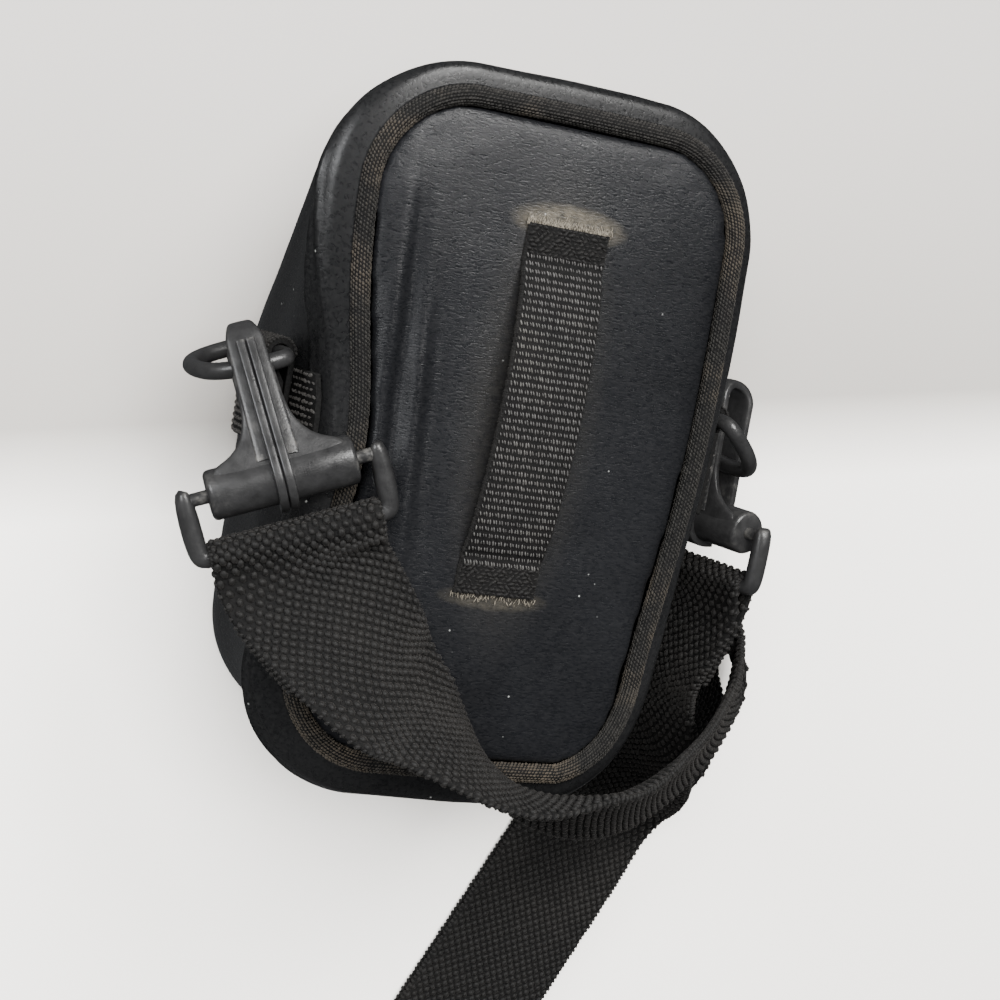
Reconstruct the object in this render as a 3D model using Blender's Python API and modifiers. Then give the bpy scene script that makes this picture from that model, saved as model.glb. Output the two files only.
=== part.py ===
# Camera case of black faux leather with a belt loop and a webbing shoulder strap.
# It lies on its front face with the back panel up: X runs across the panel, Y runs to
# the top of the case and Z is up. The origin is on the flat rest face, under the
# middle of the back panel. All lengths are in metres.

import math

import bmesh
import bpy
from mathutils import Matrix, Vector

# Case body
CASE_DEPTH = 0.068
PANEL_WIDTH = 0.0973
PANEL_HEIGHT = 0.156
CORNER_RADIUS = 0.0245
SIDE_BOW = 0.0012
TOP_DEPTH = 0.0145
SLOPE_START = 0.013
LEATHER = 0.002
PANEL_THICKNESS = 0.003
PANEL_CROWN = 0.0028
PANEL_DROP = 0.002
PIPING_RADIUS = 0.0024
PIPING_DROP = 0.0021
ROLL_OUT = 0.0058
ROLL_LEAN = 0.5
ROLL_TOP = 0.35
LEAST_ROLL = 0.34
ROLL_DEPTH = 0.015
MOST_ROLL_SHARE = 0.5
BODY_OUT = 0.0012
FRONT_INSET = 0.0105
SEAM_GAP = 0.0003
SEAM_ROOM = 0.0013
FRONT_ROOM = 0.0009

# Webbing pieces
LOOP_WIDTH = 0.0195
LOOP_LENGTH = 0.084
LOOP_TACK = 0.009
LOOP_RISE = 0.0052
LOOP_THICKNESS = 0.0016
LOOP_LEAN = 0.036
LOOP_CENTRE_Y = 0.0085
BAND_WIDTH = 0.020
BAND_THICKNESS = 0.0014
BAND_GAP = 0.0005
TAB_WIDTH = 0.0158
TAB_LENGTH = 0.018
TAB_THICKNESS = 0.0014
TAB_PLACE = 0.24
# The folded end of a ring tab: how far behind the bar its layers meet, and how far apart, in turns.
TAB_CLOSE = 2.2
TAB_APART = 1.1
TAB_GAP = 0.0008
RING_GAP = 0.0005

# Plastic rings, hooks and frames
RING_WIRE = 0.0017
RING_BAR = 0.029
RING_REACH = 0.0174
BAR_HEIGHT = 0.0125
HOOK_REACH = 0.031
HOOK_WIDTH = 0.009
HOOK_WALL = 0.0023
HOOK_RUN = 0.0016
BARREL_LENGTH = 0.0325
BARREL_SIZE = 0.0092
RIB_WIDTH = 0.0022
RIB_HEIGHT = 0.0022
PIN_RADIUS = 0.0015
FRAME_WIRE = 0.0019
FRAME_DROP = 0.0135
FRAME_CLEARANCE = 0.0009
PIN_SIDES = 12

# Shoulder strap
STRAP_WIDTH = 0.0385
STRAP_THICKNESS = 0.0018
STRAP_GAP = 0.0004
SEWN_END = 0.028
LEAD_SHARE = 0.3
FLOOR_RUN = 0.27
FOLD_RADIUS = 0.009
# The upper layer comes down behind the fold: how far back and how far down, in fold radii.
FOLD_FALL = ((1.0, 0.1), (2.2, 0.45))

# Facets
AROUND = 60
PANEL_RINGS = 6

HALF_WIDTH = PANEL_WIDTH / 2
HALF_HEIGHT = PANEL_HEIGHT / 2

# Where the piping line is squeezed in: side (-1 left, 1 right), place and spread as
# shares of the half height, size as a share of the half width
SQUEEZES = [
    {"side": -1, "place": -0.06, "size": 0.165, "spread": 0.42},
    {"side": 1, "place": -0.75, "size": 0.14, "spread": 0.55},
]
SQUEEZE_FADE = 0.4

# Shallow folds of the back panel: middle and spread as shares of the half width and
# half height, depth as a share of the crown
PANEL_FOLDS = [
    {"x": -0.66, "y": 0.16, "across": 0.055, "along": 0.42, "depth": 0.42},
    {"x": -0.52, "y": 0.02, "across": 0.06, "along": 0.36, "depth": 0.3},
]

# The gusset's rolled strip beside the piping: share of its depth, share of its reach
ROLL_ROWS = [(0.0, 0.0), (0.12, 0.52), (0.34, 0.93), (0.62, 0.9), (0.85, 0.55), (1.0, 0.28)]
# The wall from the roll to the front: share of the depth left, reach as a share of
# the body's reach, inset as a share of the front inset
BODY_ROWS = [(0.4, 0.9, 0.0), (0.74, 1.0, 0.0), (0.9, 0.55, 0.12), (0.975, 0.0, 0.42), (1.0, 0.0, 1.0)]
# The share of the roll's reach that the side bands press flat, and how far along
BAND_PRESS = 0.7
BAND_PRESS_SPREAD = 0.27

# The strap's route from the left hook to the floor, past the sewn end. Points are shares
# of the half width, half height and case depth; the last numbers are the direction across
LEFT_ROUTE = [
    {"place": (-0.79, -0.555, 1.148), "across": (0.87, 0.4, -0.2)},
    {"place": (-0.635, -0.66, 1.215), "across": (0.79, 0.37, -0.47)},
    {"place": (-0.478, -0.733, 1.25), "across": (0.66, 0.34, -0.67)},
    {"place": (-0.344, -0.783, 1.29), "across": (0.54, 0.24, -0.8)},
    {"place": (-0.2, -0.835, 1.31), "across": (0.43, 0.13, -0.89)},
    {"place": (0.03, -0.923, 1.3), "across": (0.25, -0.1, -0.96)},
    {"place": (0.3, -0.975, 1.25), "across": (0.12, -0.36, -0.92)},
    {"place": (0.63, -1.01, 1.15), "across": (0.14, -0.5, -0.85)},
    {"place": (0.98, -1.0, 1.0), "across": (0.2, -0.6, -0.77)},
    {"place": (1.33, -0.95, 0.81), "across": (0.32, -0.56, -0.76)},
    {"place": (1.66, -0.845, 0.6), "across": (0.48, -0.4, -0.78)},
    {"place": (1.86, -0.73, 0.43), "across": (0.56, -0.2, -0.8)},
    {"place": (1.925, -0.65, 0.335), "across": (0.55, -0.05, -0.83)},
    {"place": (1.87, -0.605, 0.316), "across": (0.56, -0.05, -0.83)},
    {"place": (1.79, -0.62, 0.294), "across": (0.58, -0.05, -0.81)},
    {"place": (1.745, -0.69, 0.265), "across": (0.62, -0.07, -0.78)},
    {"place": (1.76, -0.8, 0.221), "across": (0.72, -0.1, -0.68)},
    {"place": (1.8, -0.96, 0.162), "across": (0.87, -0.1, -0.49)},
    {"place": (1.72, -1.12, 0.035), "across": (0.93, -0.33, -0.02)},
]
# The route back from the floor up to the right hook
RIGHT_ROUTE = [
    {"place": (1.48, -1.13, 0.17), "across": (0.8, -0.3, 0.5)},
    {"place": (1.38, -0.923, 0.38), "across": (0.35, -0.1, 0.93)},
    {"place": (1.34, -0.71, 0.42), "across": (0.25, -0.03, 0.97)},
]
# The free run on the floor: its start, as shares of the half width and half height,
# and its heading
FLOOR_START = (1.465, -1.29)
FLOOR_HEADING = Vector((-0.442, -0.897, 0.0)).normalized()

# The hooks: the side of the case, how far the ring swings up from straight out, the share
# of the ring's bow that the hook grips, the share of the hook's reach where it lies, the
# hook's directions, and how far the strap's frame is tilted on the hook
LEFT_HOOK = {"side": -1, "swing": math.radians(-22), "grip": 0.12, "seat": 0.84,
             "across": (0.9, 0.39, 0.16), "down": (0.28, -0.85, 0.51), "tilt": math.radians(28)}
RIGHT_HOOK = {"side": 1, "swing": math.radians(-43), "grip": 0.65, "seat": 0.5,
              "across": (0.25, -0.03, 0.97), "down": (0.0, -0.99, -0.03), "tilt": 0.0}


def clear_scene():
    for thing in list(bpy.data.objects):
        bpy.data.objects.remove(thing, do_unlink=True)


def finish(name, colour, roughness, metallic=0.0):
    material = bpy.data.materials.new(name)
    material.use_nodes = True
    shader = material.node_tree.nodes["Principled BSDF"]
    shader.inputs["Base Color"].default_value = (*colour, 1.0)
    shader.inputs["Roughness"].default_value = roughness
    shader.inputs["Metallic"].default_value = metallic
    return material


def collection(name):
    made = bpy.data.collections.new(name)
    bpy.context.scene.collection.children.link(made)
    return made


def add_object(name, data, material, home):
    made = bpy.data.objects.new(name, data)
    if material:
        data.materials.append(material)
    home.objects.link(made)
    return made


def bell(distance, spread):
    return math.exp(-((distance / spread) ** 2))


def outline_point(turn):
    """Point and outward normal of the undented rounded rectangle, by share of its length."""
    straight_x = PANEL_WIDTH - 2 * CORNER_RADIUS
    straight_y = PANEL_HEIGHT - 2 * CORNER_RADIUS
    arc = CORNER_RADIUS * math.pi / 2
    legs = [straight_y / 2, arc, straight_x, arc, straight_y, arc, straight_x, arc, straight_y / 2]
    left = turn % 1.0 * sum(legs)
    corners = [(1, 1, 0), (-1, 1, 90), (-1, -1, 180), (1, -1, 270)]
    starts = [(HALF_WIDTH, 0, 90), (HALF_WIDTH - CORNER_RADIUS, HALF_HEIGHT, 180),
              (-HALF_WIDTH, HALF_HEIGHT - CORNER_RADIUS, 270),
              (CORNER_RADIUS - HALF_WIDTH, -HALF_HEIGHT, 0), (HALF_WIDTH, CORNER_RADIUS - HALF_HEIGHT, 90)]
    leg = 0
    while leg < len(legs) - 1 and left > legs[leg]:
        left -= legs[leg]
        leg += 1
    if leg % 2:
        sx, sy, first = corners[leg // 2]
        angle = math.radians(first) + left / CORNER_RADIUS
        normal = Vector((math.cos(angle), math.sin(angle)))
        centre = Vector((sx * (HALF_WIDTH - CORNER_RADIUS), sy * (HALF_HEIGHT - CORNER_RADIUS)))
        point = centre + normal * CORNER_RADIUS
    else:
        x, y, heading = starts[leg // 2]
        way = Vector((math.cos(math.radians(heading)), math.sin(math.radians(heading))))
        normal = Vector((way.y, -way.x))
        point = Vector((x, y)) + way * left
    bow = Vector((point.x * (point.y / HALF_HEIGHT) ** 2 / HALF_WIDTH,
                  point.y * (point.x / HALF_WIDTH) ** 2 / HALF_HEIGHT)) * SIDE_BOW
    return point - bow, normal


def squeeze(point, normal, depth):
    """How far the piping line is pressed in at a point this far below the panel."""
    fade = max(0.0, 1 - depth / (SQUEEZE_FADE * CASE_DEPTH))
    total = 0.0
    for row in SQUEEZES:
        if normal.x * row["side"] > 0:
            reach = bell(point.y - row["place"] * HALF_HEIGHT, row["spread"] * HALF_HEIGHT)
            total += row["size"] * HALF_WIDTH * reach * abs(normal.x) * fade
    return total


def edge_point(point, normal, out, depth):
    """A point of the case: out from the piping line and down from the panel's plane."""
    moved = point + normal * (out - squeeze(point, normal, depth))
    return Vector((moved.x, moved.y, CASE_DEPTH - depth))


def depth_at(y):
    """Depth of the front face below the panel's plane: level, then sloping up to the top."""
    if y <= SLOPE_START:
        return CASE_DEPTH
    share = (y - SLOPE_START) / (HALF_HEIGHT - SLOPE_START)
    return max(TOP_DEPTH, CASE_DEPTH - (CASE_DEPTH - TOP_DEPTH) * share)


def gusset_rows(point, normal):
    """(out, depth) of each row of the gusset, from the piping to the front seam."""
    full = depth_at(point.y)
    roll_depth = min(ROLL_DEPTH, MOST_ROLL_SHARE * full)
    press = 1 - BAND_PRESS * abs(normal.x) * bell(point.y, BAND_PRESS_SPREAD * HALF_HEIGHT)
    lean = 1 - ROLL_LEAN * max(0.0, normal.x) - ROLL_TOP * max(0.0, normal.y)
    press = max(LEAST_ROLL, press * lean)
    start = PIPING_DROP
    rows = [(SEAM_ROOM + ROLL_OUT * reach * press, start + share * (roll_depth - start))
            for share, reach in ROLL_ROWS]
    rows += [(BODY_OUT * reach - FRONT_INSET * inset, roll_depth + share * (full - roll_depth))
             for share, reach, inset in BODY_ROWS]
    return rows


def panel_top(x, y):
    """Height of the back panel's upper face."""
    crown = PANEL_CROWN * max(0.0, 1 - (x / HALF_WIDTH) ** 2) * max(0.0, 1 - (y / HALF_HEIGHT) ** 4)
    fold = sum(row["depth"] * PANEL_CROWN
               * bell(x / HALF_WIDTH - row["x"], row["across"])
               * bell(y / HALF_HEIGHT - row["y"], row["along"]) for row in PANEL_FOLDS)
    return CASE_DEPTH - PANEL_DROP + crown - fold


def grid_mesh(name, rows, closed=False, capped=False):
    """A surface through rows of points; closed joins each row's ends, capped fills the last row."""
    mesh = bpy.data.meshes.new(name)
    shape = bmesh.new()
    made = [[shape.verts.new(point) for point in row] for row in rows]
    for first, second in zip(made, made[1:]):
        count = len(first)
        for i in range(count if closed else count - 1):
            j = (i + 1) % count
            shape.faces.new((first[i], first[j], second[j], second[i]))
    if capped:
        middle = shape.verts.new(sum((v.co for v in made[-1]), Vector()) / len(made[-1]))
        for i, vert in enumerate(made[-1]):
            shape.faces.new((vert, made[-1][(i + 1) % len(made[-1])], middle))
    shape.to_mesh(mesh)
    shape.free()
    return mesh


def shell(name, rows, thickness, material, home, offset=0.0, closed=False, capped=False, even=True):
    """A wall of even thickness on an open surface."""
    made = add_object(name, grid_mesh(name, rows, closed, capped), material, home)
    wall = made.modifiers.new("Wall", "SOLIDIFY")
    wall.thickness = thickness
    wall.offset = offset
    wall.use_even_offset = even
    made.data.shade_smooth()
    made.data.set_sharp_from_angle(angle=math.radians(40))
    return made


def tube(name, points, radius, material, home, cyclic=False):
    curve = bpy.data.curves.new(name, "CURVE")
    curve.dimensions = "3D"
    curve.bevel_depth = radius
    curve.bevel_resolution = 2
    curve.use_fill_caps = not cyclic
    spline = curve.splines.new("POLY")
    spline.points.add(len(points) - 1)
    for target, point in zip(spline.points, points):
        target.co = (*point, 1.0)
    spline.use_cyclic_u = cyclic
    spline.use_smooth = True
    return add_object(name, curve, material, home)


def outline():
    return [outline_point(i / AROUND) for i in range(AROUND)]


def make_back_panel(material, home):
    inset = 2 * PIPING_RADIUS + 2 * SEAM_GAP
    rim = [edge_point(p, n, -inset, 0.0) for p, n in outline()]
    rows = []
    for ring in range(PANEL_RINGS):
        share = 1 - (ring / PANEL_RINGS) ** 1.2
        rows.append([Vector((v.x * share, v.y * share, panel_top(v.x * share, v.y * share))) for v in rim])
    return shell("back_panel", rows, PANEL_THICKNESS, material, home, -1.0, True, True)


def make_piping(material, home):
    line = [edge_point(p, n, -PIPING_RADIUS, PIPING_DROP) for p, n in outline()]
    return tube("piping", line, PIPING_RADIUS, material, home, True)


def make_gusset(material, home):
    columns = []
    for point, normal in outline():
        columns.append([edge_point(point, normal, out, depth) for out, depth in gusset_rows(point, normal)])
    rows = [[column[i] for column in columns] for i in reversed(range(len(columns[0])))]
    return shell("gusset", rows, LEATHER, material, home, -1.0, True)


def make_front_panel(material, home):
    rim = []
    for point, normal in outline():
        out, depth = gusset_rows(point, normal)[-1]
        rim.append(edge_point(point, normal, out - FRONT_ROOM, depth))
    rows = []
    for ring in range(PANEL_RINGS):
        share = 1 - ring / PANEL_RINGS
        rows.append([Vector((v.x * share, v.y * share, CASE_DEPTH - depth_at(v.y * share))) for v in rim])
    rows = [list(reversed(row)) for row in rows]
    return shell("front_panel", rows, LEATHER, material, home, -1.0, True, True)


def make_belt_loop(material, home):
    steps = 20
    rows = []
    for i in range(steps + 1):
        along = (i / steps - 0.5) * LOOP_LENGTH
        y = LOOP_CENTRE_Y + along
        middle = LOOP_LEAN * along
        free = LOOP_LENGTH / 2 - LOOP_TACK
        rise = LOOP_RISE * max(0.0, 1 - (along / free) ** 2) ** 0.7
        sides = [middle + side * LOOP_WIDTH / 2 for side in (-1, 0, 1)]
        low = max(panel_top(x, y) for x in sides)
        rows.append([Vector((x, y, low + SEAM_GAP + rise)) for x in sides])
    return shell("belt_loop", rows, LOOP_THICKNESS, material, home, 1.0)


def side_point(side, y, row, extra):
    """A point of the left (-1) or right (1) wall on one of the gusset's rows."""
    normal = Vector((side, 0.0))
    point = Vector((side * (HALF_WIDTH - SIDE_BOW * (y / HALF_HEIGHT) ** 2), y))
    out, depth = gusset_rows(point, normal)[row]
    return edge_point(point, normal, out + extra, depth)


def make_side_band(name, side, material, home):
    last = len(ROLL_ROWS) + len(BODY_ROWS) - 3
    rows = []
    for row in range(2, last + 1):
        line = [side_point(side, BAND_WIDTH * (i / 4 - 0.5), row, BAND_GAP) for i in range(5)]
        rows.append(line if side > 0 else list(reversed(line)))
    return shell(name, rows, BAND_THICKNESS, material, home, -1.0)


def side_frame(side):
    """Local axes of a ring tab: X out of the wall, Y to the top, Z up along the ring's bar."""
    upper = side_point(side, 0.0, len(ROLL_ROWS) - 1, BAND_GAP + BAND_THICKNESS)
    lower = side_point(side, 0.0, len(ROLL_ROWS) + 1, BAND_GAP + BAND_THICKNESS)
    bar = (upper - lower).normalized()
    up = Vector((0.0, 1.0, 0.0))
    out = up.cross(bar) * side
    rows = range(len(ROLL_ROWS) - 3, len(ROLL_ROWS) + 2)
    proud = max((side_point(side, 0.0, row, BAND_GAP + BAND_THICKNESS) - upper).dot(out) for row in rows)
    place = upper.lerp(lower, TAB_PLACE) + out * (proud + TAB_GAP + TAB_THICKNESS / 2)
    basis = Matrix((out, up, bar)).transposed().to_4x4()
    return Matrix.Translation(place) @ basis


def make_ring_tab(name, side, material, home):
    turn = RING_WIRE + RING_GAP + TAB_THICKNESS / 2
    spread = TAB_THICKNESS + SEAM_GAP
    path = [Vector((0.0, BAR_HEIGHT - turn * 2 - TAB_LENGTH * share, 0.0)) for share in (1.0, 0.5, 0.0)]
    centre = Vector((turn, BAR_HEIGHT, 0.0))
    for i in range(9):
        angle = math.pi * (1 - i / 8)
        path.append(centre + Vector((turn * math.cos(angle), turn * math.sin(angle), 0.0)))
    path.append(Vector((spread * TAB_APART, BAR_HEIGHT - turn * TAB_CLOSE, 0.0)))
    path += [Vector((spread, BAR_HEIGHT - turn * 2 - TAB_LENGTH * share, 0.0)) for share in (0.5, 0.92)]
    rows = [[point + Vector((0.0, 0.0, z)) for z in (-TAB_WIDTH / 2, TAB_WIDTH / 2)] for point in path]
    made = shell(name, rows, TAB_THICKNESS, material, home)
    made.matrix_world = side_frame(side)
    return made


def ring_bar_place():
    turn = RING_WIRE + RING_GAP + TAB_THICKNESS / 2
    return Vector((turn, BAR_HEIGHT, 0.0))


def bow_point(share, swing):
    """A point of the ring's bow, by share of the half turn from its upper end."""
    angle = math.pi * share
    width = math.copysign(abs(math.cos(angle)) ** 0.75, math.cos(angle))
    reach = 0.16 + 0.84 * math.sin(angle) ** 0.8
    out = Vector((math.cos(swing), math.sin(swing), 0.0))
    return ring_bar_place() + out * RING_REACH * reach + Vector((0.0, 0.0, RING_BAR / 2 * width))


def make_ring(name, side, swing, material, home):
    """A D-shaped ring: a straight bar in the tab's fold and a bow that reaches out."""
    bar = [ring_bar_place() + Vector((0.0, 0.0, RING_BAR / 2 * share)) for share in (-0.94, -0.5, 0.0, 0.5, 0.94)]
    bow = [bow_point(i / 12, swing) for i in range(13)]
    made = tube(name, bar + bow, RING_WIRE, material, home, True)
    made.matrix_world = side_frame(side)
    return made


def share_place(shares):
    return Vector((shares[0] * HALF_WIDTH, shares[1] * HALF_HEIGHT, shares[2] * CASE_DEPTH))


def axes(across, down):
    """Right-handed axes with X across and Y away from down."""
    x = Vector(across).normalized()
    y = -(Vector(down) - x * x.dot(Vector(down))).normalized()
    return x, y, x.cross(y)


def block(size, centre):
    shape = bmesh.new()
    bmesh.ops.create_cube(shape, size=1.0)
    bmesh.ops.scale(shape, vec=size, verts=shape.verts)
    bmesh.ops.translate(shape, vec=centre, verts=shape.verts)
    return shape


def cylinder(radius, length, centre, axis, sides):
    shape = bmesh.new()
    bmesh.ops.create_cone(shape, cap_ends=True, segments=sides, radius1=radius, radius2=radius, depth=length)
    turn = Vector((0.0, 0.0, 1.0)).rotation_difference(Vector(axis)).to_matrix()
    bmesh.ops.rotate(shape, cent=(0.0, 0.0, 0.0), matrix=turn, verts=shape.verts)
    bmesh.ops.translate(shape, vec=centre, verts=shape.verts)
    return shape


def extruded(points, thickness, to_space):
    """A closed prism on a flat outline, centred on its plane."""
    shape = bmesh.new()
    low = [shape.verts.new(to_space(a, b, -thickness / 2)) for a, b in points]
    high = [shape.verts.new(to_space(a, b, thickness / 2)) for a, b in points]
    shape.faces.new(low)
    shape.faces.new(list(reversed(high)))
    for i in range(len(points)):
        j = (i + 1) % len(points)
        shape.faces.new((low[j], low[i], high[i], high[j]))
    bmesh.ops.recalc_face_normals(shape, faces=shape.faces)
    return shape


def fused(name, shapes, cuts, material, home, workshop):
    """One body: the first shape with the others joined to it and the cuts taken away."""
    objects = []
    for i, shape in enumerate(shapes + cuts):
        mesh = bpy.data.meshes.new(f"{name}_{i}")
        shape.to_mesh(mesh)
        shape.free()
        objects.append(add_object(mesh.name, mesh, material, home if i == 0 else workshop))
    body = objects[0]
    body.name = name
    for i, other in enumerate(objects[1:], 1):
        other.hide_render = True
        other.display_type = "WIRE"
        step = body.modifiers.new(f"Join {i}", "BOOLEAN")
        step.operation = "UNION" if i < len(shapes) else "DIFFERENCE"
        step.object = other
    for thing in objects:
        thing.data.shade_smooth()
        thing.data.set_sharp_from_angle(angle=math.radians(35))
    return body, objects[1:]


def hook_frame(hook):
    """Matrix of a hook: origin in its barrel, X along the barrel, Y to its nose."""
    x, y, z = axes(hook["across"], hook["down"])
    grip = side_frame(hook["side"]) @ bow_point(hook["grip"], hook["swing"])
    place = grip - y * HOOK_REACH * hook["seat"]
    return Matrix.Translation(place) @ Matrix((x, y, z)).transposed().to_4x4()


def make_hook(name, hook, material, home, workshop):
    """A snap hook: barrel, flared body with a rib, and a nose closed round the ring."""
    matrix = hook_frame(hook)
    eye = RING_WIRE + HOOK_RUN
    outer = eye + HOOK_WALL
    nose_steps = [math.radians(90 - 180 * i / 10) for i in range(11)]
    side_profile = [(0.0, outer)] + [(HOOK_REACH + outer * math.cos(a), outer * math.sin(a)) for a in nose_steps]
    side_profile += [(0.0, -outer)]
    window = [(BARREL_SIZE * 0.75, eye)]
    window += [(HOOK_REACH + eye * math.cos(a), eye * math.sin(a)) for a in nose_steps]
    window += [(BARREL_SIZE * 0.75, -eye)]
    flare = [(0.0, 0.44), (0.09, 0.41), (0.17, 0.27), (0.27, 0.185), (0.45, 0.15)]
    half = [(BARREL_LENGTH * width, HOOK_REACH * along) for along, width in flare]
    flare_outline = half + [(-x, y) for x, y in reversed(half)]
    shapes = [
        extruded(side_profile, HOOK_WIDTH, lambda a, b, t: (t, a, b)),
        extruded(flare_outline, HOOK_WALL, lambda a, b, t: (a, b, t + outer - HOOK_WALL / 2)),
        block((BARREL_LENGTH, BARREL_SIZE, BARREL_SIZE), (0.0, 0.0, 0.0)),
        block((RIB_WIDTH, HOOK_REACH * 1.05, RIB_HEIGHT * 2), (0.0, HOOK_REACH / 2, outer)),
        cylinder(PIN_RADIUS, 2 * (frame_half() - FRAME_WIRE - SEAM_GAP), (0.0, 0.0, 0.0), (1.0, 0.0, 0.0), PIN_SIDES),
    ]
    cuts = [extruded(window, HOOK_WIDTH * 2, lambda a, b, t: (t, a, b))]
    body, helpers = fused(name, shapes, cuts, material, home, workshop)
    body.matrix_world = matrix
    for helper in helpers:
        helper.matrix_world = matrix
    return body


def frame_half():
    """Half the distance between the middles of the strap frame's arms."""
    return max(BARREL_LENGTH / 2 + FRAME_CLEARANCE, STRAP_WIDTH / 2) + SEAM_GAP + FRAME_WIRE


def frame_place(hook):
    """Matrix of the strap's frame, which turns on the pins at the barrel's ends."""
    return hook_frame(hook) @ Matrix.Rotation(hook["tilt"], 4, "X")


def make_strap_frame(name, hook, material, home):
    """A U-shaped frame: two arms on the hook's pins and the bar in the strap's fold."""
    half = frame_half()
    bend = FRAME_WIRE * 1.3
    arm = [Vector((half, FRAME_WIRE * 1.4, 0.0)), Vector((half, bend - FRAME_DROP, 0.0)),
           Vector((half - 0.3 * bend, 0.3 * bend - FRAME_DROP, 0.0)), Vector((half - bend, -FRAME_DROP, 0.0))]
    mirrored = [Vector((-point.x, point.y, point.z)) for point in reversed(arm)]
    made = tube(name, arm + mirrored, FRAME_WIRE, material, home)
    made.matrix_world = frame_place(hook)
    return made


def smooth(points, steps):
    """Points read from a Catmull-Rom curve through the given ones."""
    found = []
    for i in range(len(points) - 1):
        a = points[max(i - 1, 0)]
        b, c = points[i], points[i + 1]
        d = points[min(i + 2, len(points) - 1)]
        for k in range(steps):
            t = k / steps
            found.append(0.5 * (2 * b + (c - a) * t + (2 * a - 5 * b + 4 * c - d) * t * t
                                + (3 * b - 3 * c + d - a) * t ** 3))
    return found + [points[-1]]


def lead_in(hook, face):
    """Where the strap leaves a hook's frame: the bar, the way down, across and face directions."""
    frame = frame_place(hook)
    turn = frame.to_3x3()
    return frame @ Vector((0.0, -FRAME_DROP, 0.0)), -turn.col[1], turn.col[0], turn.col[2] * face


def ribbon(start, route):
    """Smooth (point, across) stations from a frame's bar through the route's rows."""
    bar, down, across, _ = start
    points = [bar, bar + down * SEWN_END * LEAD_SHARE]
    turns = [across] * 2
    points += [share_place(row["place"]) for row in route]
    turns += [Vector(row["across"]).normalized() for row in route]
    return list(zip(smooth(points, 3), smooth(turns, 3)))


def sewn_end(start, stations):
    """The strap's end layer, folded round the bar and sewn under the run that leaves it."""
    bar, down, across, face = start
    turn = FRAME_WIRE + SEAM_GAP + STRAP_THICKNESS / 2
    low = (STRAP_THICKNESS + STRAP_GAP) / 2
    under, over, gone = [], [], 0.0
    for i, (point, turned) in enumerate(stations):
        way = (stations[min(i + 1, len(stations) - 1)][0] - stations[max(i - 1, 0)][0]).normalized()
        normal = way.cross(turned).normalized()
        normal = normal if normal.dot(face) > 0 else -normal
        if i:
            gone += (point - stations[i - 1][0]).length
        apart = low + (turn - low) * max(0.0, 1 - gone / (4 * turn)) ** 2
        if i and gone < SEWN_END:
            under.append((point - normal * apart, turned))
        fade = max(0.0, 1 - max(0.0, gone - SEWN_END) / SEWN_END)
        if i:
            over.append((point + normal * apart * fade, turned))
    bend = []
    for i in range(9):
        angle = math.pi * i / 8
        bend.append((bar - down * turn * math.sin(angle) - face * turn * math.cos(angle), across))
    return list(reversed(under)) + bend + over


def floor_run():
    """The free run: out along the floor, over in a fold, and back on top of itself."""
    low = STRAP_THICKNESS / 2 + SEAM_GAP
    high = low + STRAP_THICKNESS + STRAP_GAP
    start = Vector((FLOOR_START[0] * HALF_WIDTH, FLOOR_START[1] * HALF_HEIGHT, 0.0))
    up = Vector((0.0, 0.0, 1.0))
    shares = (0.0, 0.25, 0.5, 0.75, 0.93)
    points = [start + FLOOR_HEADING * FLOOR_RUN * share + up * low for share in shares]
    end = start + FLOOR_HEADING * FLOOR_RUN
    for i in range(9):
        angle = math.pi * (i / 8 - 0.5)
        lift = low + FOLD_RADIUS * (1 + math.sin(angle))
        points.append(end + FLOOR_HEADING * FOLD_RADIUS * math.cos(angle) + up * lift)
    for back, drop in FOLD_FALL:
        points.append(end - FLOOR_HEADING * FOLD_RADIUS * back + up * (low + FOLD_RADIUS * (2 - drop)))
    shares = (0.8, 0.7, 0.5, 0.25, 0.0)
    points += [start + FLOOR_HEADING * FLOOR_RUN * share + up * high for share in shares]
    return points


def strap_stations():
    """(middle, across) of every station of the strap, from one sewn end to the other."""
    left_start = lead_in(LEFT_HOOK, 1)
    right_start = lead_in(RIGHT_HOOK, 1)
    floor = floor_run()
    flat = Vector((-FLOOR_HEADING.y, FLOOR_HEADING.x, 0.0))
    left = ribbon(left_start, LEFT_ROUTE)
    right = ribbon(right_start, list(reversed(RIGHT_ROUTE)))
    bridge = [left[-1][0]] + smooth(floor, 3) + [right[-1][0]]
    laid = [(point, flat) for point in bridge[1:-1]]
    left = sewn_end(left_start, left)
    right = sewn_end(right_start, right)
    return left + laid + list(reversed(right))


def make_strap(material, home):
    stations = strap_stations()
    rows = []
    for i, (point, across) in enumerate(stations):
        way = stations[min(i + 1, len(stations) - 1)][0] - stations[max(i - 1, 0)][0]
        way.normalize()
        across = (across - way * way.dot(across)).normalized()
        rows.append([point + across * STRAP_WIDTH * share for share in (-0.5, 0.0, 0.5)])
    return shell("shoulder_strap", rows, STRAP_THICKNESS, material, home, even=False)


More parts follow.
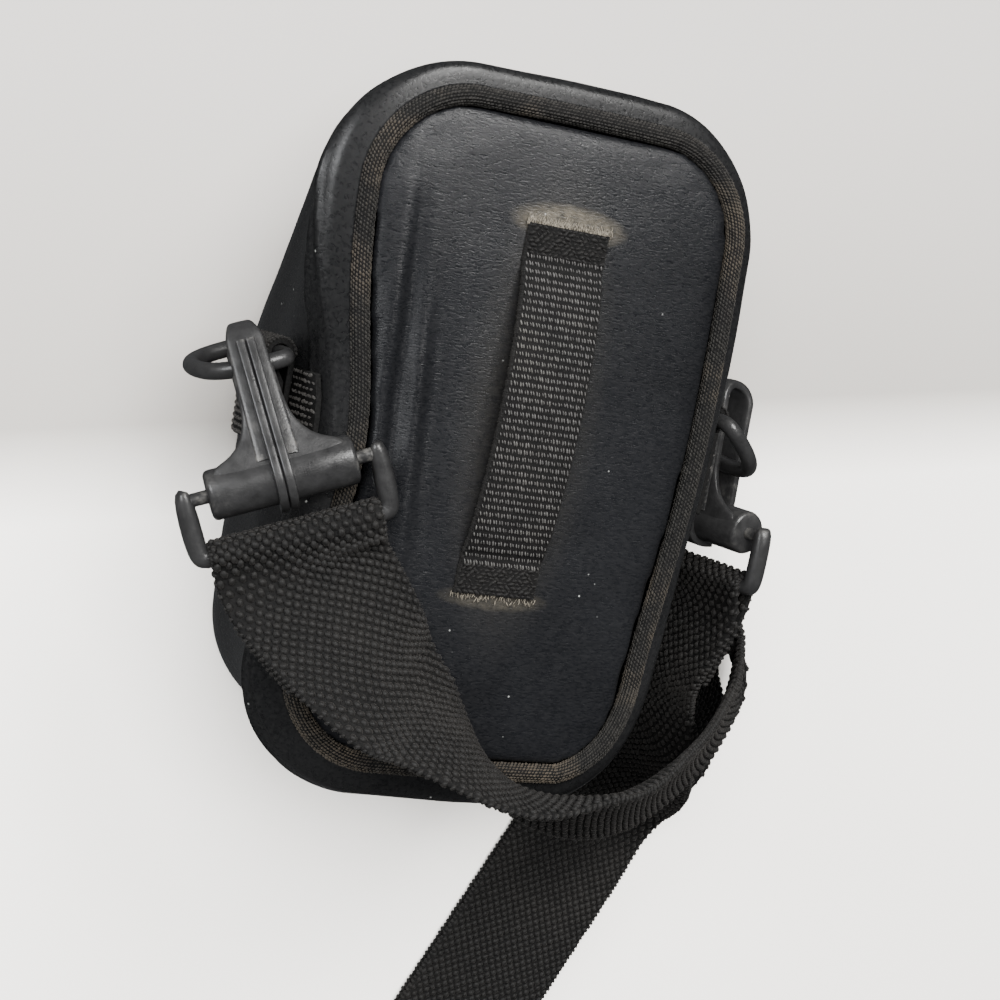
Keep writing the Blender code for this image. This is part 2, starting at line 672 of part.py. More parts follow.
def main():
    clear_scene()
    case = collection("camera_case")
    workshop = collection("cutters")
    leather = finish("black faux leather", (0.018, 0.02, 0.026), 0.42)
    tape = finish("black woven tape", (0.03, 0.029, 0.028), 0.9)
    webbing = finish("black webbing", (0.022, 0.022, 0.023), 0.85)
    plastic = finish("black moulded plastic", (0.03, 0.03, 0.031), 0.45)
    make_back_panel(leather, case)
    make_piping(tape, case)
    make_gusset(leather, case)
    make_front_panel(leather, case)
    make_belt_loop(webbing, case)
    for word, hook in (("left", LEFT_HOOK), ("right", RIGHT_HOOK)):
        make_side_band(f"{word}_side_band", hook["side"], webbing, case)
        make_ring_tab(f"{word}_ring_tab", hook["side"], webbing, case)
        make_ring(f"{word}_ring", hook["side"], hook["swing"], plastic, case)
        make_hook(f"{word}_snap_hook", hook, plastic, case, workshop)
        make_strap_frame(f"{word}_strap_frame", hook, plastic, case)
    make_strap(webbing, case)


main()
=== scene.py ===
import math
from contextlib import contextmanager

import bmesh
import bpy
from mathutils import Matrix, Vector, noise


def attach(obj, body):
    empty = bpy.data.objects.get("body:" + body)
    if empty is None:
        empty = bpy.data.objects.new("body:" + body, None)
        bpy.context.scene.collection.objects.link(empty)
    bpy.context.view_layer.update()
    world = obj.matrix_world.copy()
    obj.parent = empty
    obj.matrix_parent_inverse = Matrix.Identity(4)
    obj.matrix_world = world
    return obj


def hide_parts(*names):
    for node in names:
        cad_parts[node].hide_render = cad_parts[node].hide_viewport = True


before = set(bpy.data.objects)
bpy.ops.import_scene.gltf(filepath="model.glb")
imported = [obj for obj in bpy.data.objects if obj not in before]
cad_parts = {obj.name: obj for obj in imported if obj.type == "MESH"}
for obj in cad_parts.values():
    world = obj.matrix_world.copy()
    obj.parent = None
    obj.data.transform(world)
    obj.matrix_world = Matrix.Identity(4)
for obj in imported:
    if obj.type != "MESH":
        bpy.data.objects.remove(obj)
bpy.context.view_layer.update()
print("frame loaded:", len(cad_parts), "nodes")

# Axes: X across the back panel, Y to the top of the case, Z up. Lengths are in metres.


# Camera, floor and lights

view = {
    "place": (-0.1767, 0.0346, 0.4587),
    "right": (0.9078, 0.1717, 0.3826),
    "up": (-0.1147, 0.9792, -0.1674),
    "back": (-0.4034, 0.1081, 0.9086),
    "lens": 68.4,
    "sensor": 36.0,
    "clipStart": 0.01,
    "floorSize": 6.0,
    "floorDrop": 0.0006,
    "floorTurn": math.radians(-10.0),
    # Painted shade: the floor is coloured light near the camera, darkest in a band just behind the case, then
    # grey further back; floorFade is the span of this fade
    "floorFade": (-0.04, 0.12),
    "floorNear": (0.84, 0.82, 0.785),
    "floorDarkBand": (0.33, 0.315, 0.295),
    "floorShadedFar": (0.385, 0.37, 0.355),
    "skyColour": (0.95, 0.97, 1.0),
    "skyStrength": 0.13,
}

softLights = [
    {"name": "windowLight", "place": (0.28, 0.94, 1.18), "size": 0.55, "power": 34.0,
     "colour": (1.0, 0.99, 0.97), "mirrored": True},
    {"name": "roomLight", "place": (-0.45, 0.5, 1.5), "size": 1.1, "power": 122.0,
     "colour": (1.0, 0.99, 0.975), "mirrored": False},
    {"name": "leftLight", "place": (-1.1, 0.35, 0.6), "size": 0.45, "power": 13.0,
     "colour": (0.97, 0.985, 1.0), "mirrored": True},
]


def makeCamera():
    data = bpy.data.cameras.new("photoCamera")
    data.lens = view["lens"]
    data.sensor_width = view["sensor"]
    data.clip_start = view["clipStart"]
    camera = bpy.data.objects.new("photoCamera", data)
    turn = Matrix((view["right"], view["up"], view["back"])).transposed().to_4x4()
    camera.matrix_world = Matrix.Translation(view["place"]) @ turn
    bpy.context.scene.collection.objects.link(camera)
    bpy.context.scene.camera = camera


def makeLights():
    for row in softLights:
        data = bpy.data.lights.new(row["name"], "AREA")
        data.energy = row["power"]
        data.size = row["size"]
        data.color = row["colour"]
        lamp = bpy.data.objects.new(row["name"], data)
        lamp.location = row["place"]
        lamp.rotation_euler = (-Vector(row["place"])).to_track_quat("-Z", "Y").to_euler()
        lamp.visible_glossy = row["mirrored"]
        bpy.context.scene.collection.objects.link(lamp)
    world = bpy.data.worlds.new("softRoom")
    world.use_nodes = True
    sky = world.node_tree.nodes["Background"]
    sky.inputs["Color"].default_value = (*view["skyColour"], 1.0)
    sky.inputs["Strength"].default_value = view["skyStrength"]
    bpy.context.scene.world = world


# Small helpers for nodes and meshes


def addNode(tree, kind, inputs=None, **settings):
    made = tree.nodes.new(kind)
    for key, value in settings.items():
        setattr(made, key, value)
    for key, value in (inputs or {}).items():
        if isinstance(value, bpy.types.NodeSocket):
            tree.links.new(value, made.inputs[key])
        else:
            made.inputs[key].default_value = value
    return made


def newFinish(name, roughness, specular=0.5):
    material = bpy.data.materials.new(name)
    material.use_nodes = True
    shader = material.node_tree.nodes["Principled BSDF"]
    shader.inputs["Roughness"].default_value = roughness
    shader.inputs["Specular IOR Level"].default_value = specular
    return material, material.node_tree, shader


def ramp(tree, factor, stops):
    made = addNode(tree, "ShaderNodeValToRGB", {"Fac": factor})
    band = made.color_ramp
    while len(band.elements) < len(stops):
        band.elements.new(0.5)
    for element, (place, colour) in zip(band.elements, stops):
        element.position = place
        element.color = (*colour, 1.0)
    return made.outputs["Color"]


def grey(value):
    return (value, value, value)


def compute(tree, operation, first, second):
    return addNode(tree, "ShaderNodeMath", {0: first, 1: second}, operation=operation).outputs[0]


def noiseAt(tree, place, scale, detail=2.0, roughness=0.5, distortion=0.0):
    made = addNode(tree, "ShaderNodeTexNoise", {"Vector": place, "Scale": scale, "Detail": detail,
                                                "Roughness": roughness, "Distortion": distortion})
    return made.outputs["Fac"]


def addBump(tree, shader, height, strength, distance):
    bump = addNode(tree, "ShaderNodeBump", {"Height": height, "Strength": strength, "Distance": distance})
    tree.links.new(bump.outputs["Normal"], shader.inputs["Normal"])


def varyRoughness(tree, shader, factor, low, high):
    rough = ramp(tree, factor, [(0.3, grey(low)), (0.8, grey(high))])
    tree.links.new(rough, shader.inputs["Roughness"])


def mixColours(tree, factor, first, second):
    made = addNode(tree, "ShaderNodeMix", data_type="RGBA")
    for socket, value in ((made.inputs[0], factor), (made.inputs[6], first), (made.inputs[7], second)):
        if isinstance(value, bpy.types.NodeSocket):
            tree.links.new(value, socket)
        elif isinstance(value, float):
            socket.default_value = value
        else:
            socket.default_value = (*value, 1.0)
    return made.outputs[2]


def meshObject(name, mesh, material):
    made = bpy.data.objects.new(name, mesh)
    if material:
        mesh.materials.clear()
        mesh.materials.append(material)
    bpy.context.scene.collection.objects.link(made)
    return made


def bakeModifiers(piece):
    graph = bpy.context.evaluated_depsgraph_get()
    mesh = bpy.data.meshes.new_from_object(piece.evaluated_get(graph))
    piece.modifiers.clear()
    piece.data = mesh
    return piece


def addPiece(piece, slotName, *nodes):
    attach(piece, "root")
    if nodes:
        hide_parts(*nodes)
    print("piece:", piece.name, len(piece.data.polygons), "faces")


def gridShape(name, rows, material, closed=False):
    mesh = bpy.data.meshes.new(name)
    shape = bmesh.new()
    uvLayer = shape.loops.layers.uv.new("UVMap")
    made = [[shape.verts.new(point) for point in row] for row in rows]
    count = len(rows[0])
    for r, (first, second) in enumerate(zip(made, made[1:])):
        for i in range(count if closed else count - 1):
            j = (i + 1) % count
            face = shape.faces.new((first[i], first[j], second[j], second[i]))
            corners = ((i, r), (i + 1, r), (i + 1, r + 1), (i, r + 1))
            for loop, (u, v) in zip(face.loops, corners):
                loop[uvLayer].uv = (u / count, v / len(rows))
    shape.to_mesh(mesh)
    shape.free()
    mesh.shade_smooth()
    return meshObject(name, mesh, material)


@contextmanager
def editedMesh(mesh):
    shape = bmesh.new()
    shape.from_mesh(mesh)
    yield shape
    shape.to_mesh(mesh)
    shape.free()


def mergePoints(mesh):
    with editedMesh(mesh) as shape:
        bmesh.ops.remove_doubles(shape, verts=shape.verts, dist=0.00002)


def closeEnds(mesh):
    with editedMesh(mesh) as shape:
        bmesh.ops.holes_fill(shape, edges=shape.edges, sides=20)
        bmesh.ops.recalc_face_normals(shape, faces=shape.faces)


def mergedCopy(node, name, material):
    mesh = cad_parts[node].data.copy()
    mergePoints(mesh)
    mesh.shade_smooth()
    return meshObject(name, mesh, material)


def addBevel(piece, width, segments, degrees):
    bevel = piece.modifiers.new("Bevel", "BEVEL")
    bevel.width = width
    bevel.segments = segments
    bevel.limit_method = "ANGLE"
    bevel.angle_limit = math.radians(degrees)


def addSubdivision(piece, levels):
    fine = piece.modifiers.new("Fine", "SUBSURF")
    fine.levels = levels
    fine.render_levels = levels


def bell(distance, spread):
    return math.exp(-((distance / spread) ** 2))


def smoothLine(points, steps):
    found = []
    for i in range(len(points) - 1):
        a = points[max(i - 1, 0)]
        b, c = points[i], points[i + 1]
        d = points[min(i + 2, len(points) - 1)]
        for k in range(steps):
            t = k / steps
            found.append(0.5 * (2 * b + (c - a) * t + (2 * a - 5 * b + 4 * c - d) * t * t
                                + (3 * b - 3 * c + d - a) * t ** 3))
    return found + [points[-1]]


# The form of the case: the piping's outline and the rows of the side wall


caseForm = {
    "depth": 0.068, "width": 0.0973, "height": 0.156, "corner": 0.0245, "sideBow": 0.0012,
    "topDepth": 0.0145, "slopeStart": 0.013, "leather": 0.002,
    "crown": 0.0028, "panelDrop": 0.002, "pipingRadius": 0.0024, "pipingDrop": 0.0021,
    "rollOut": 0.0058, "rollLean": 0.5, "rollTop": 0.35, "leastRoll": 0.34, "rollDepth": 0.015,
    "bodyOut": 0.0012, "frontInset": 0.0105,
    "seamGap": 0.0003, "seamRoom": 0.0013, "tuck": -0.0004, "squeezeFade": 0.4,
    "bandPress": 0.7, "bandPressSpread": 0.27,
    "squeezes": [
        {"side": -1, "place": -0.06, "size": 0.165, "spread": 0.42},
        {"side": 1, "place": -0.75, "size": 0.14, "spread": 0.55},
    ],
    "rollRows": [(0.0, 0.0), (0.12, 0.52), (0.34, 0.93), (0.62, 0.9), (0.85, 0.55), (1.0, 0.28)],
    "bodyRows": [(0.4, 0.9, 0.0), (0.74, 1.0, 0.0), (0.9, 0.55, 0.12), (0.975, 0.0, 0.42), (1.0, 0.0, 1.0)],
}
halfWidth = caseForm["width"] / 2
halfHeight = caseForm["height"] / 2
up = Vector((0.0, 0.0, 1.0))


def outlinePoint(turn):
    corner = caseForm["corner"]
    straightX = caseForm["width"] - 2 * corner
    straightY = caseForm["height"] - 2 * corner
    arc = corner * math.pi / 2
    legs = [straightY / 2, arc, straightX, arc, straightY, arc, straightX, arc, straightY / 2]
    left = turn % 1.0 * sum(legs)
    corners = [(1, 1, 0), (-1, 1, 90), (-1, -1, 180), (1, -1, 270)]
    starts = [(halfWidth, 0, 90), (halfWidth - corner, halfHeight, 180),
              (-halfWidth, halfHeight - corner, 270), (corner - halfWidth, -halfHeight, 0),
              (halfWidth, corner - halfHeight, 90)]
    leg = 0
    while leg < len(legs) - 1 and left > legs[leg]:
        left -= legs[leg]
        leg += 1
    if leg % 2:
        sx, sy, first = corners[leg // 2]
        angle = math.radians(first) + left / corner
        normal = Vector((math.cos(angle), math.sin(angle)))
        point = Vector((sx * (halfWidth - corner), sy * (halfHeight - corner))) + normal * corner
    else:
        x, y, heading = starts[leg // 2]
        way = Vector((math.cos(math.radians(heading)), math.sin(math.radians(heading))))
        normal = Vector((way.y, -way.x))
        point = Vector((x, y)) + way * left
    bow = Vector((point.x * (point.y / halfHeight) ** 2 / halfWidth,
                  point.y * (point.x / halfWidth) ** 2 / halfHeight)) * caseForm["sideBow"]
    return point - bow, normal


def edgePoint(point, normal, out, depth):
    fade = max(0.0, 1 - depth / (caseForm["squeezeFade"] * caseForm["depth"]))
    total = 0.0
    for row in caseForm["squeezes"]:
        if normal.x * row["side"] > 0:
            reach = bell(point.y - row["place"] * halfHeight, row["spread"] * halfHeight)
            total += row["size"] * halfWidth * reach * abs(normal.x) * fade
    moved = point + normal * (out - total)
    return Vector((moved.x, moved.y, caseForm["depth"] - depth))


def depthAt(y):
    if y <= caseForm["slopeStart"]:
        return caseForm["depth"]
    share = (y - caseForm["slopeStart"]) / (halfHeight - caseForm["slopeStart"])
    lost = (caseForm["depth"] - caseForm["topDepth"]) * share
    return max(caseForm["topDepth"], caseForm["depth"] - lost)


def wallRows(point, normal):
    full = depthAt(point.y)
    rollDepth = min(caseForm["rollDepth"], 0.5 * full)
    spread = caseForm["bandPressSpread"] * halfHeight
    press = 1 - caseForm["bandPress"] * abs(normal.x) * bell(point.y, spread)
    lean = 1 - caseForm["rollLean"] * max(0.0, normal.x) - caseForm["rollTop"] * max(0.0, normal.y)
    press = max(caseForm["leastRoll"], press * lean)
    start = caseForm["pipingDrop"]
    rows = [(caseForm["seamRoom"] + caseForm["rollOut"] * reach * press, start + share * (rollDepth - start))
            for share, reach in caseForm["rollRows"]]
    rows[0] = (caseForm["tuck"], start)
    rows += [(caseForm["bodyOut"] * reach - caseForm["frontInset"] * inset,
              rollDepth + share * (full - rollDepth)) for share, reach, inset in caseForm["bodyRows"]]
    return rows


def panelTop(x, y):
    crown = caseForm["crown"] * max(0.0, 1 - (x / halfWidth) ** 2) * max(0.0, 1 - (y / halfHeight) ** 4)
    return caseForm["depth"] - caseForm["panelDrop"] + crown


def sidePoint(side, y, row, extra):
    normal = Vector((side, 0.0))
    point = Vector((side * (halfWidth - caseForm["sideBow"] * (y / halfHeight) ** 2), y))
    out, depth = wallRows(point, normal)[row]
    return edgePoint(point, normal, out + extra, depth)


# Finishes


def dustySpot(tree, place, spot):
    away = addNode(tree, "ShaderNodeVectorMath", {0: place, 1: spot["place"]}, operation="SUBTRACT")
    flat = addNode(tree, "ShaderNodeVectorMath", {0: away.outputs["Vector"], 1: spot["stretch"]},
                   operation="MULTIPLY")
    far = addNode(tree, "ShaderNodeVectorMath", {0: flat.outputs["Vector"]}, operation="LENGTH")
    near = addNode(tree, "ShaderNodeMapRange", {"Value": far.outputs["Value"], "From Min": 1.25,
                                                "From Max": 0.75, "To Max": spot["most"]})
    grain = ramp(tree, noiseAt(tree, place, 520.0, 6.0, 0.8), [(0.3, grey(0.1)), (0.7, grey(1.0))])
    return compute(tree, "MULTIPLY", near.outputs["Result"], grain)


def leatherFinish(name, look):
    material, tree, shader = newFinish(name, look["roughness"], look["gloss"])
    place = addNode(tree, "ShaderNodeTexCoord").outputs["Object"]
    long = addNode(tree, "ShaderNodeMapping", {"Vector": place, "Scale": look["grainScale"]})
    wrinkles = noiseAt(tree, long.outputs["Vector"], 1.0, 5.0, 0.62, 0.7)
    dust = addNode(tree, "ShaderNodeTexVoronoi", {"Vector": place, "Scale": look["dustScale"]})
    speck = ramp(tree, dust.outputs["Distance"], [(0.0, grey(1.0)), (0.045, grey(0.55)), (0.075, grey(0.0))])
    sparse = ramp(tree, noiseAt(tree, place, 95.0), [(0.55, grey(0.0)), (0.68, grey(1.0))])
    few = compute(tree, "MULTIPLY", speck, sparse)
    tone = ramp(tree, noiseAt(tree, place, 34.0, 3.0), [(0.3, look["dark"]), (0.72, look["light"])])
    worn = ramp(tree, wrinkles, [(0.4, grey(0.0)), (0.75, grey(0.5))])
    grained = mixColours(tree, worn, tone, look["worn"])
    coloured = mixColours(tree, few, grained, look["speck"])
    for spot in look.get("dusty", []):
        coloured = mixColours(tree, dustySpot(tree, place, spot), coloured, spot["colour"])
    tree.links.new(coloured, shader.inputs["Base Color"])
    varyRoughness(tree, shader, wrinkles, look["roughness"] - 0.07, look["roughness"] + 0.09)
    addBump(tree, shader, wrinkles, look["bump"], 0.0005)
    return material


def threadFinish(name, look):
    material, tree, shader = newFinish(name, look["roughness"], 0.25)
    place = addNode(tree, "ShaderNodeTexCoord").outputs["Object"]
    fine = noiseAt(tree, place, 1500.0, 3.0, 0.7)
    broad = noiseAt(tree, place, 48.0, 4.0, 0.6)
    tone = ramp(tree, fine, [(0.32, look["dark"]), (0.7, look["light"])])
    fuzz = ramp(tree, broad, [(0.5, grey(0.0)), (0.78, grey(look["fuzz"]))])
    tree.links.new(mixColours(tree, fuzz, tone, look["dust"]), shader.inputs["Base Color"])
    addBump(tree, shader, fine, 0.5, 0.0003)
    shader.inputs["Sheen Weight"].default_value = look["sheen"]
    shader.inputs["Sheen Roughness"].default_value = 0.5
    shader.inputs["Sheen Tint"].default_value = (0.75, 0.7, 0.66, 1.0)
    return material


def plasticFinish(name, look):
    material, tree, shader = newFinish(name, look["roughness"], look["gloss"])
    place = addNode(tree, "ShaderNodeTexCoord").outputs["Object"]
    fine = noiseAt(tree, place, 2100.0)
    scuffs = noiseAt(tree, place, 260.0, 6.0, 0.75)
    bevelled = addNode(tree, "ShaderNodeNewGeometry").outputs["Pointiness"]
    edges = ramp(tree, bevelled, [(0.53, grey(0.0)), (0.6, grey(0.75))])
    worn = ramp(tree, scuffs, [(0.5, grey(0.0)), (0.72, grey(0.8))])
    share = compute(tree, "MULTIPLY", edges, worn)
    tone = ramp(tree, scuffs, [(0.3, look["dark"]), (0.75, look["light"])])
    tree.links.new(mixColours(tree, share, tone, look["worn"]), shader.inputs["Base Color"])
    varyRoughness(tree, shader, scuffs, look["roughness"] - 0.08, look["roughness"] + 0.14)
    addBump(tree, shader, fine, 0.25, 0.0002)
    return material


panelLeather = leatherFinish("panelLeather", {
    "roughness": 0.31, "gloss": 0.3, "grainScale": (700.0, 2300.0, 1400.0), "bump": 0.35,
    "dark": (0.0024, 0.0026, 0.0031), "light": (0.0044, 0.0047, 0.0055), "worn": (0.0125, 0.0125, 0.0134),
    "dustScale": 260.0, "speck": (0.32, 0.33, 0.32),
    "dusty": [
        {"place": (0.0016, 0.0515, 0.069), "stretch": (82.0, 260.0, 0.0), "most": 0.5,
         "colour": (0.12, 0.105, 0.078)},
        {"place": (0.0, 0.0085, 0.069), "stretch": (68.0, 21.0, 0.0), "most": 0.13,
         "colour": (0.06, 0.055, 0.045)},
        {"place": (-0.0014, -0.0345, 0.069), "stretch": (86.0, 420.0, 0.0), "most": 0.26,
         "colour": (0.09, 0.08, 0.06)},
    ]})
wallLeather = leatherFinish("wallLeather", {
    "roughness": 0.31, "gloss": 0.24, "grainScale": (1100.0, 1100.0, 1100.0), "bump": 0.14,
    "dark": (0.0026, 0.0027, 0.0029), "light": (0.0052, 0.0053, 0.0056), "worn": (0.012, 0.012, 0.0122),
    "dustScale": 210.0, "speck": (0.32, 0.33, 0.32)})
webbingThread = threadFinish("webbingThread", {
    "roughness": 0.6, "sheen": 0.03, "fuzz": 0.35,
    "dark": (0.0022, 0.0022, 0.0022), "light": (0.0075, 0.0073, 0.0072), "dust": (0.012, 0.0112, 0.0104)})
webbingBase = threadFinish("webbingBase", {
    "roughness": 0.9, "sheen": 0.0, "fuzz": 0.12,
    "dark": (0.0015, 0.0015, 0.0016), "light": (0.0045, 0.0044, 0.0043), "dust": (0.012, 0.011, 0.01)})
loopThread = threadFinish("loopThread", {
    "roughness": 0.55, "sheen": 0.05, "fuzz": 0.35,
    "dark": (0.014, 0.0138, 0.0135), "light": (0.062, 0.0605, 0.059), "dust": (0.085, 0.08, 0.07)})
bandThread = threadFinish("bandThread", {
    "roughness": 0.6, "sheen": 0.05, "fuzz": 0.4,
    "dark": (0.005, 0.0048, 0.0047), "light": (0.035, 0.0335, 0.0325), "dust": (0.05, 0.045, 0.04)})
tapeThread = threadFinish("tapeThread", {
    "roughness": 0.8, "sheen": 0.05, "fuzz": 0.55,
    "dark": (0.003, 0.003, 0.0028), "light": (0.016, 0.0152, 0.014), "dust": (0.07, 0.056, 0.04)})
fibreThread = threadFinish("fibreThread", {
    "roughness": 0.9, "sheen": 0.1, "fuzz": 0.4,
    "dark": (0.05, 0.045, 0.036), "light": (0.14, 0.125, 0.1), "dust": (0.18, 0.16, 0.125)})
blackPlastic = plasticFinish("blackPlastic", {
    "roughness": 0.34, "gloss": 0.5, "dark": (0.007, 0.007, 0.0072), "light": (0.016, 0.016, 0.0163),
    "worn": (0.13, 0.125, 0.115)})
print("finishes made")


def makeFloor():
    material, tree, shader = newFinish("tableTop", 0.6, 0.2)
    place = addNode(tree, "ShaderNodeTexCoord").outputs["Object"]
    turned = addNode(tree, "ShaderNodeMapping", {"Vector": place, "Rotation": (0.0, 0.0, view["floorTurn"])})
    along = addNode(tree, "ShaderNodeSeparateXYZ", {"Vector": turned.outputs["Vector"]}).outputs["Y"]
    # Painted shade: the floor colour goes from light near the camera, through a darker band just behind the
    # case, to grey further back
    low, high = view["floorFade"]
    share = addNode(tree, "ShaderNodeMapRange", {"Value": along, "From Min": low, "From Max": high})
    tone = ramp(tree, share.outputs["Result"], [(0.0, view["floorNear"]), (0.1, view["floorNear"]),
                                                (0.25, view["floorDarkBand"]), (0.8, view["floorShadedFar"])])
    tree.links.new(tone, shader.inputs["Base Color"])
    mesh = bpy.data.meshes.new("tableTop")
    shape = bmesh.new()
    bmesh.ops.create_grid(shape, x_segments=4, y_segments=4, size=view["floorSize"] / 2)
    bmesh.ops.translate(shape, vec=(0.0, 0.0, -view["floorDrop"]), verts=shape.verts)
    shape.to_mesh(mesh)
    shape.free()
    floor = meshObject("tableTop", mesh, material)
    floor.visible_glossy = False


# Woven and sewn threads: each thread is one short bead on a point of the cloth


def makeBeadTree():
    tree = bpy.data.node_groups.new("threadBeads", "GeometryNodeTree")
    face = tree.interface
    face.new_socket("Geometry", in_out="INPUT", socket_type="NodeSocketGeometry")
    for name, value in (("Bead Length", 0.0012), ("Bead Width", 0.0008), ("Bead Height", 0.0006),
                        ("Uneven", 0.15)):
        face.new_socket(name, in_out="INPUT", socket_type="NodeSocketFloat").default_value = value
    for name, value in (("Segments", 6), ("Rings", 4), ("Seed", 3)):
        face.new_socket(name, in_out="INPUT", socket_type="NodeSocketInt").default_value = value
    face.new_socket("Material", in_out="INPUT", socket_type="NodeSocketMaterial")
    face.new_socket("Geometry", in_out="OUTPUT", socket_type="NodeSocketGeometry")
    inputs = addNode(tree, "NodeGroupInput").outputs
    facing = addNode(tree, "GeometryNodeInputNamedAttribute", {"Name": "facing"}, data_type="FLOAT_VECTOR")
    along = addNode(tree, "GeometryNodeInputNamedAttribute", {"Name": "along"}, data_type="FLOAT_VECTOR")
    stood = addNode(tree, "FunctionNodeAlignRotationToVector", {"Vector": facing.outputs["Attribute"]},
                    axis="Z")
    turned = addNode(tree, "FunctionNodeAlignRotationToVector",
                     {"Rotation": stood.outputs["Rotation"], "Vector": along.outputs["Attribute"]},
                     axis="X", pivot_axis="Z")
    low = compute(tree, "SUBTRACT", 1.0, inputs["Uneven"])
    high = compute(tree, "ADD", 1.0, inputs["Uneven"])
    chance = addNode(tree, "FunctionNodeRandomValue", {"Min": low, "Max": high, "Seed": inputs["Seed"]},
                     data_type="FLOAT")
    share = next(o for o in chance.outputs if o.enabled)
    size = addNode(tree, "ShaderNodeCombineXYZ", {"X": inputs["Bead Length"], "Y": inputs["Bead Width"],
                                                  "Z": inputs["Bead Height"]}).outputs["Vector"]
    scale = addNode(tree, "ShaderNodeVectorMath", {0: size}, operation="SCALE")
    tree.links.new(share, scale.inputs["Scale"])
    ball = addNode(tree, "GeometryNodeMeshUVSphere",
                   {"Segments": inputs["Segments"], "Rings": inputs["Rings"], "Radius": 0.5})
    points = addNode(tree, "GeometryNodeMeshToPoints", {"Mesh": inputs["Geometry"]})
    placed = addNode(tree, "GeometryNodeInstanceOnPoints",
                     {"Points": points.outputs[0], "Instance": ball.outputs["Mesh"],
                      "Rotation": turned.outputs["Rotation"], "Scale": scale.outputs["Vector"]})
    real = addNode(tree, "GeometryNodeRealizeInstances", {"Geometry": placed.outputs["Instances"]})
    soft = addNode(tree, "GeometryNodeSetShadeSmooth", {"Geometry": real.outputs["Geometry"]})
    painted = addNode(tree, "GeometryNodeSetMaterial", {"Geometry": soft.outputs["Geometry"],
                                                        "Material": inputs["Material"]})
    addNode(tree, "NodeGroupOutput", {"Geometry": painted.outputs["Geometry"]})
    return tree


beadTree = makeBeadTree()


def makeBeads(name, places, bead, material, slotName):
    mesh = bpy.data.meshes.new(name)
    mesh.from_pydata([place for place, facing, along in places], [], [])
    for label, column in (("facing", 1), ("along", 2)):
        layer = mesh.attributes.new(label, "FLOAT_VECTOR", "POINT")
        layer.data.foreach_set("vector", [value for place in places for value in place[column]])
    piece = meshObject(name, mesh, material)
    step = piece.modifiers.new("Beads", "NODES")
    step.node_group = beadTree
    values = {"Bead Length": bead["length"], "Bead Width": bead["width"], "Bead Height": bead["height"],
              "Uneven": bead["uneven"], "Segments": bead.get("segments", 6), "Rings": bead.get("rings", 4),
              "Seed": bead.get("seed", 3), "Material": material}
    for item in beadTree.interface.items_tree:
        if item.in_out == "INPUT" and item.name in values:
            step[item.identifier] = values[item.name]
    piece = bakeModifiers(piece)
    addPiece(piece, slotName)
    return piece


# Back panel: a thin padded panel with two long folds at its left


panelForm = {
    "voxel": 0.0014, "pressure": 4.0, "frames": 12, "mostSwell": 0.0007, "evenShare": 0.5, "evenSteps": 4,
    "folds": [
        {"x": -0.71, "y": 0.12, "across": 0.05, "along": 0.5, "lean": -0.03, "height": 0.0012},
        {"x": -0.62, "y": 0.08, "across": 0.035, "along": 0.45, "lean": -0.08, "height": -0.0013},
        {"x": -0.54, "y": 0.0, "across": 0.04, "along": 0.42, "lean": -0.1, "height": 0.001},
        {"x": -0.45, "y": 0.02, "across": 0.05, "along": 0.38, "lean": -0.12, "height": -0.0008},
    ],
    "foldsFrom": 0.0645, "foldsFade": 0.0015, "ripple": 0.00018, "rippleScale": 55.0,
    "spread": (1.023, 1.0137),
}


def makeBackPanel():
    piece = mergedCopy("back_panel", "paddedPanel", panelLeather)
    remesh = piece.modifiers.new("Remesh", "REMESH")
    remesh.mode = "VOXEL"
    remesh.voxel_size = panelForm["voxel"]
    piece = bakeModifiers(piece)
    before = [v.co.copy() for v in piece.data.vertices]
    cloth = piece.modifiers.new("Cloth", "CLOTH")
    cloth.settings.use_pressure = True
    cloth.settings.uniform_pressure_force = panelForm["pressure"]
    cloth.settings.effector_weights.gravity = 0.0
    cloth.point_cache.frame_end = panelForm["frames"]
    for number in range(1, panelForm["frames"] + 1):
        bpy.context.scene.frame_set(number)
    piece = bakeModifiers(piece)
    bpy.context.scene.frame_set(1)
    for v, old in zip(piece.data.vertices, before):
        move = v.co - old
        if move.length > panelForm["mostSwell"]:
            v.co = old + move.normalized() * panelForm["mostSwell"]
    smoother = piece.modifiers.new("Even", "SMOOTH")
    smoother.factor = panelForm["evenShare"]
    smoother.iterations = panelForm["evenSteps"]
    addSubdivision(piece, 1)
    piece = bakeModifiers(piece)
    for v in piece.data.vertices:
        x, y = v.co.x / halfWidth, v.co.y / halfHeight
        above = min(1.0, max(0.0, (v.co.z - panelForm["foldsFrom"]) / panelForm["foldsFade"]))
        lift = sum(row["height"] * bell(x - row["x"] - row["lean"] * y, row["across"])
                   * bell(y - row["y"], row["along"]) for row in panelForm["folds"])
        lift += panelForm["ripple"] * noise.noise(v.co * panelForm["rippleScale"])
        v.co.z += lift * above
        v.co.x *= panelForm["spread"][0]
        v.co.y *= panelForm["spread"][1]
    piece.data.shade_smooth()
    addPiece(piece, "leather", "back_panel")


# Side wall, with creases pressed into its rolled strip


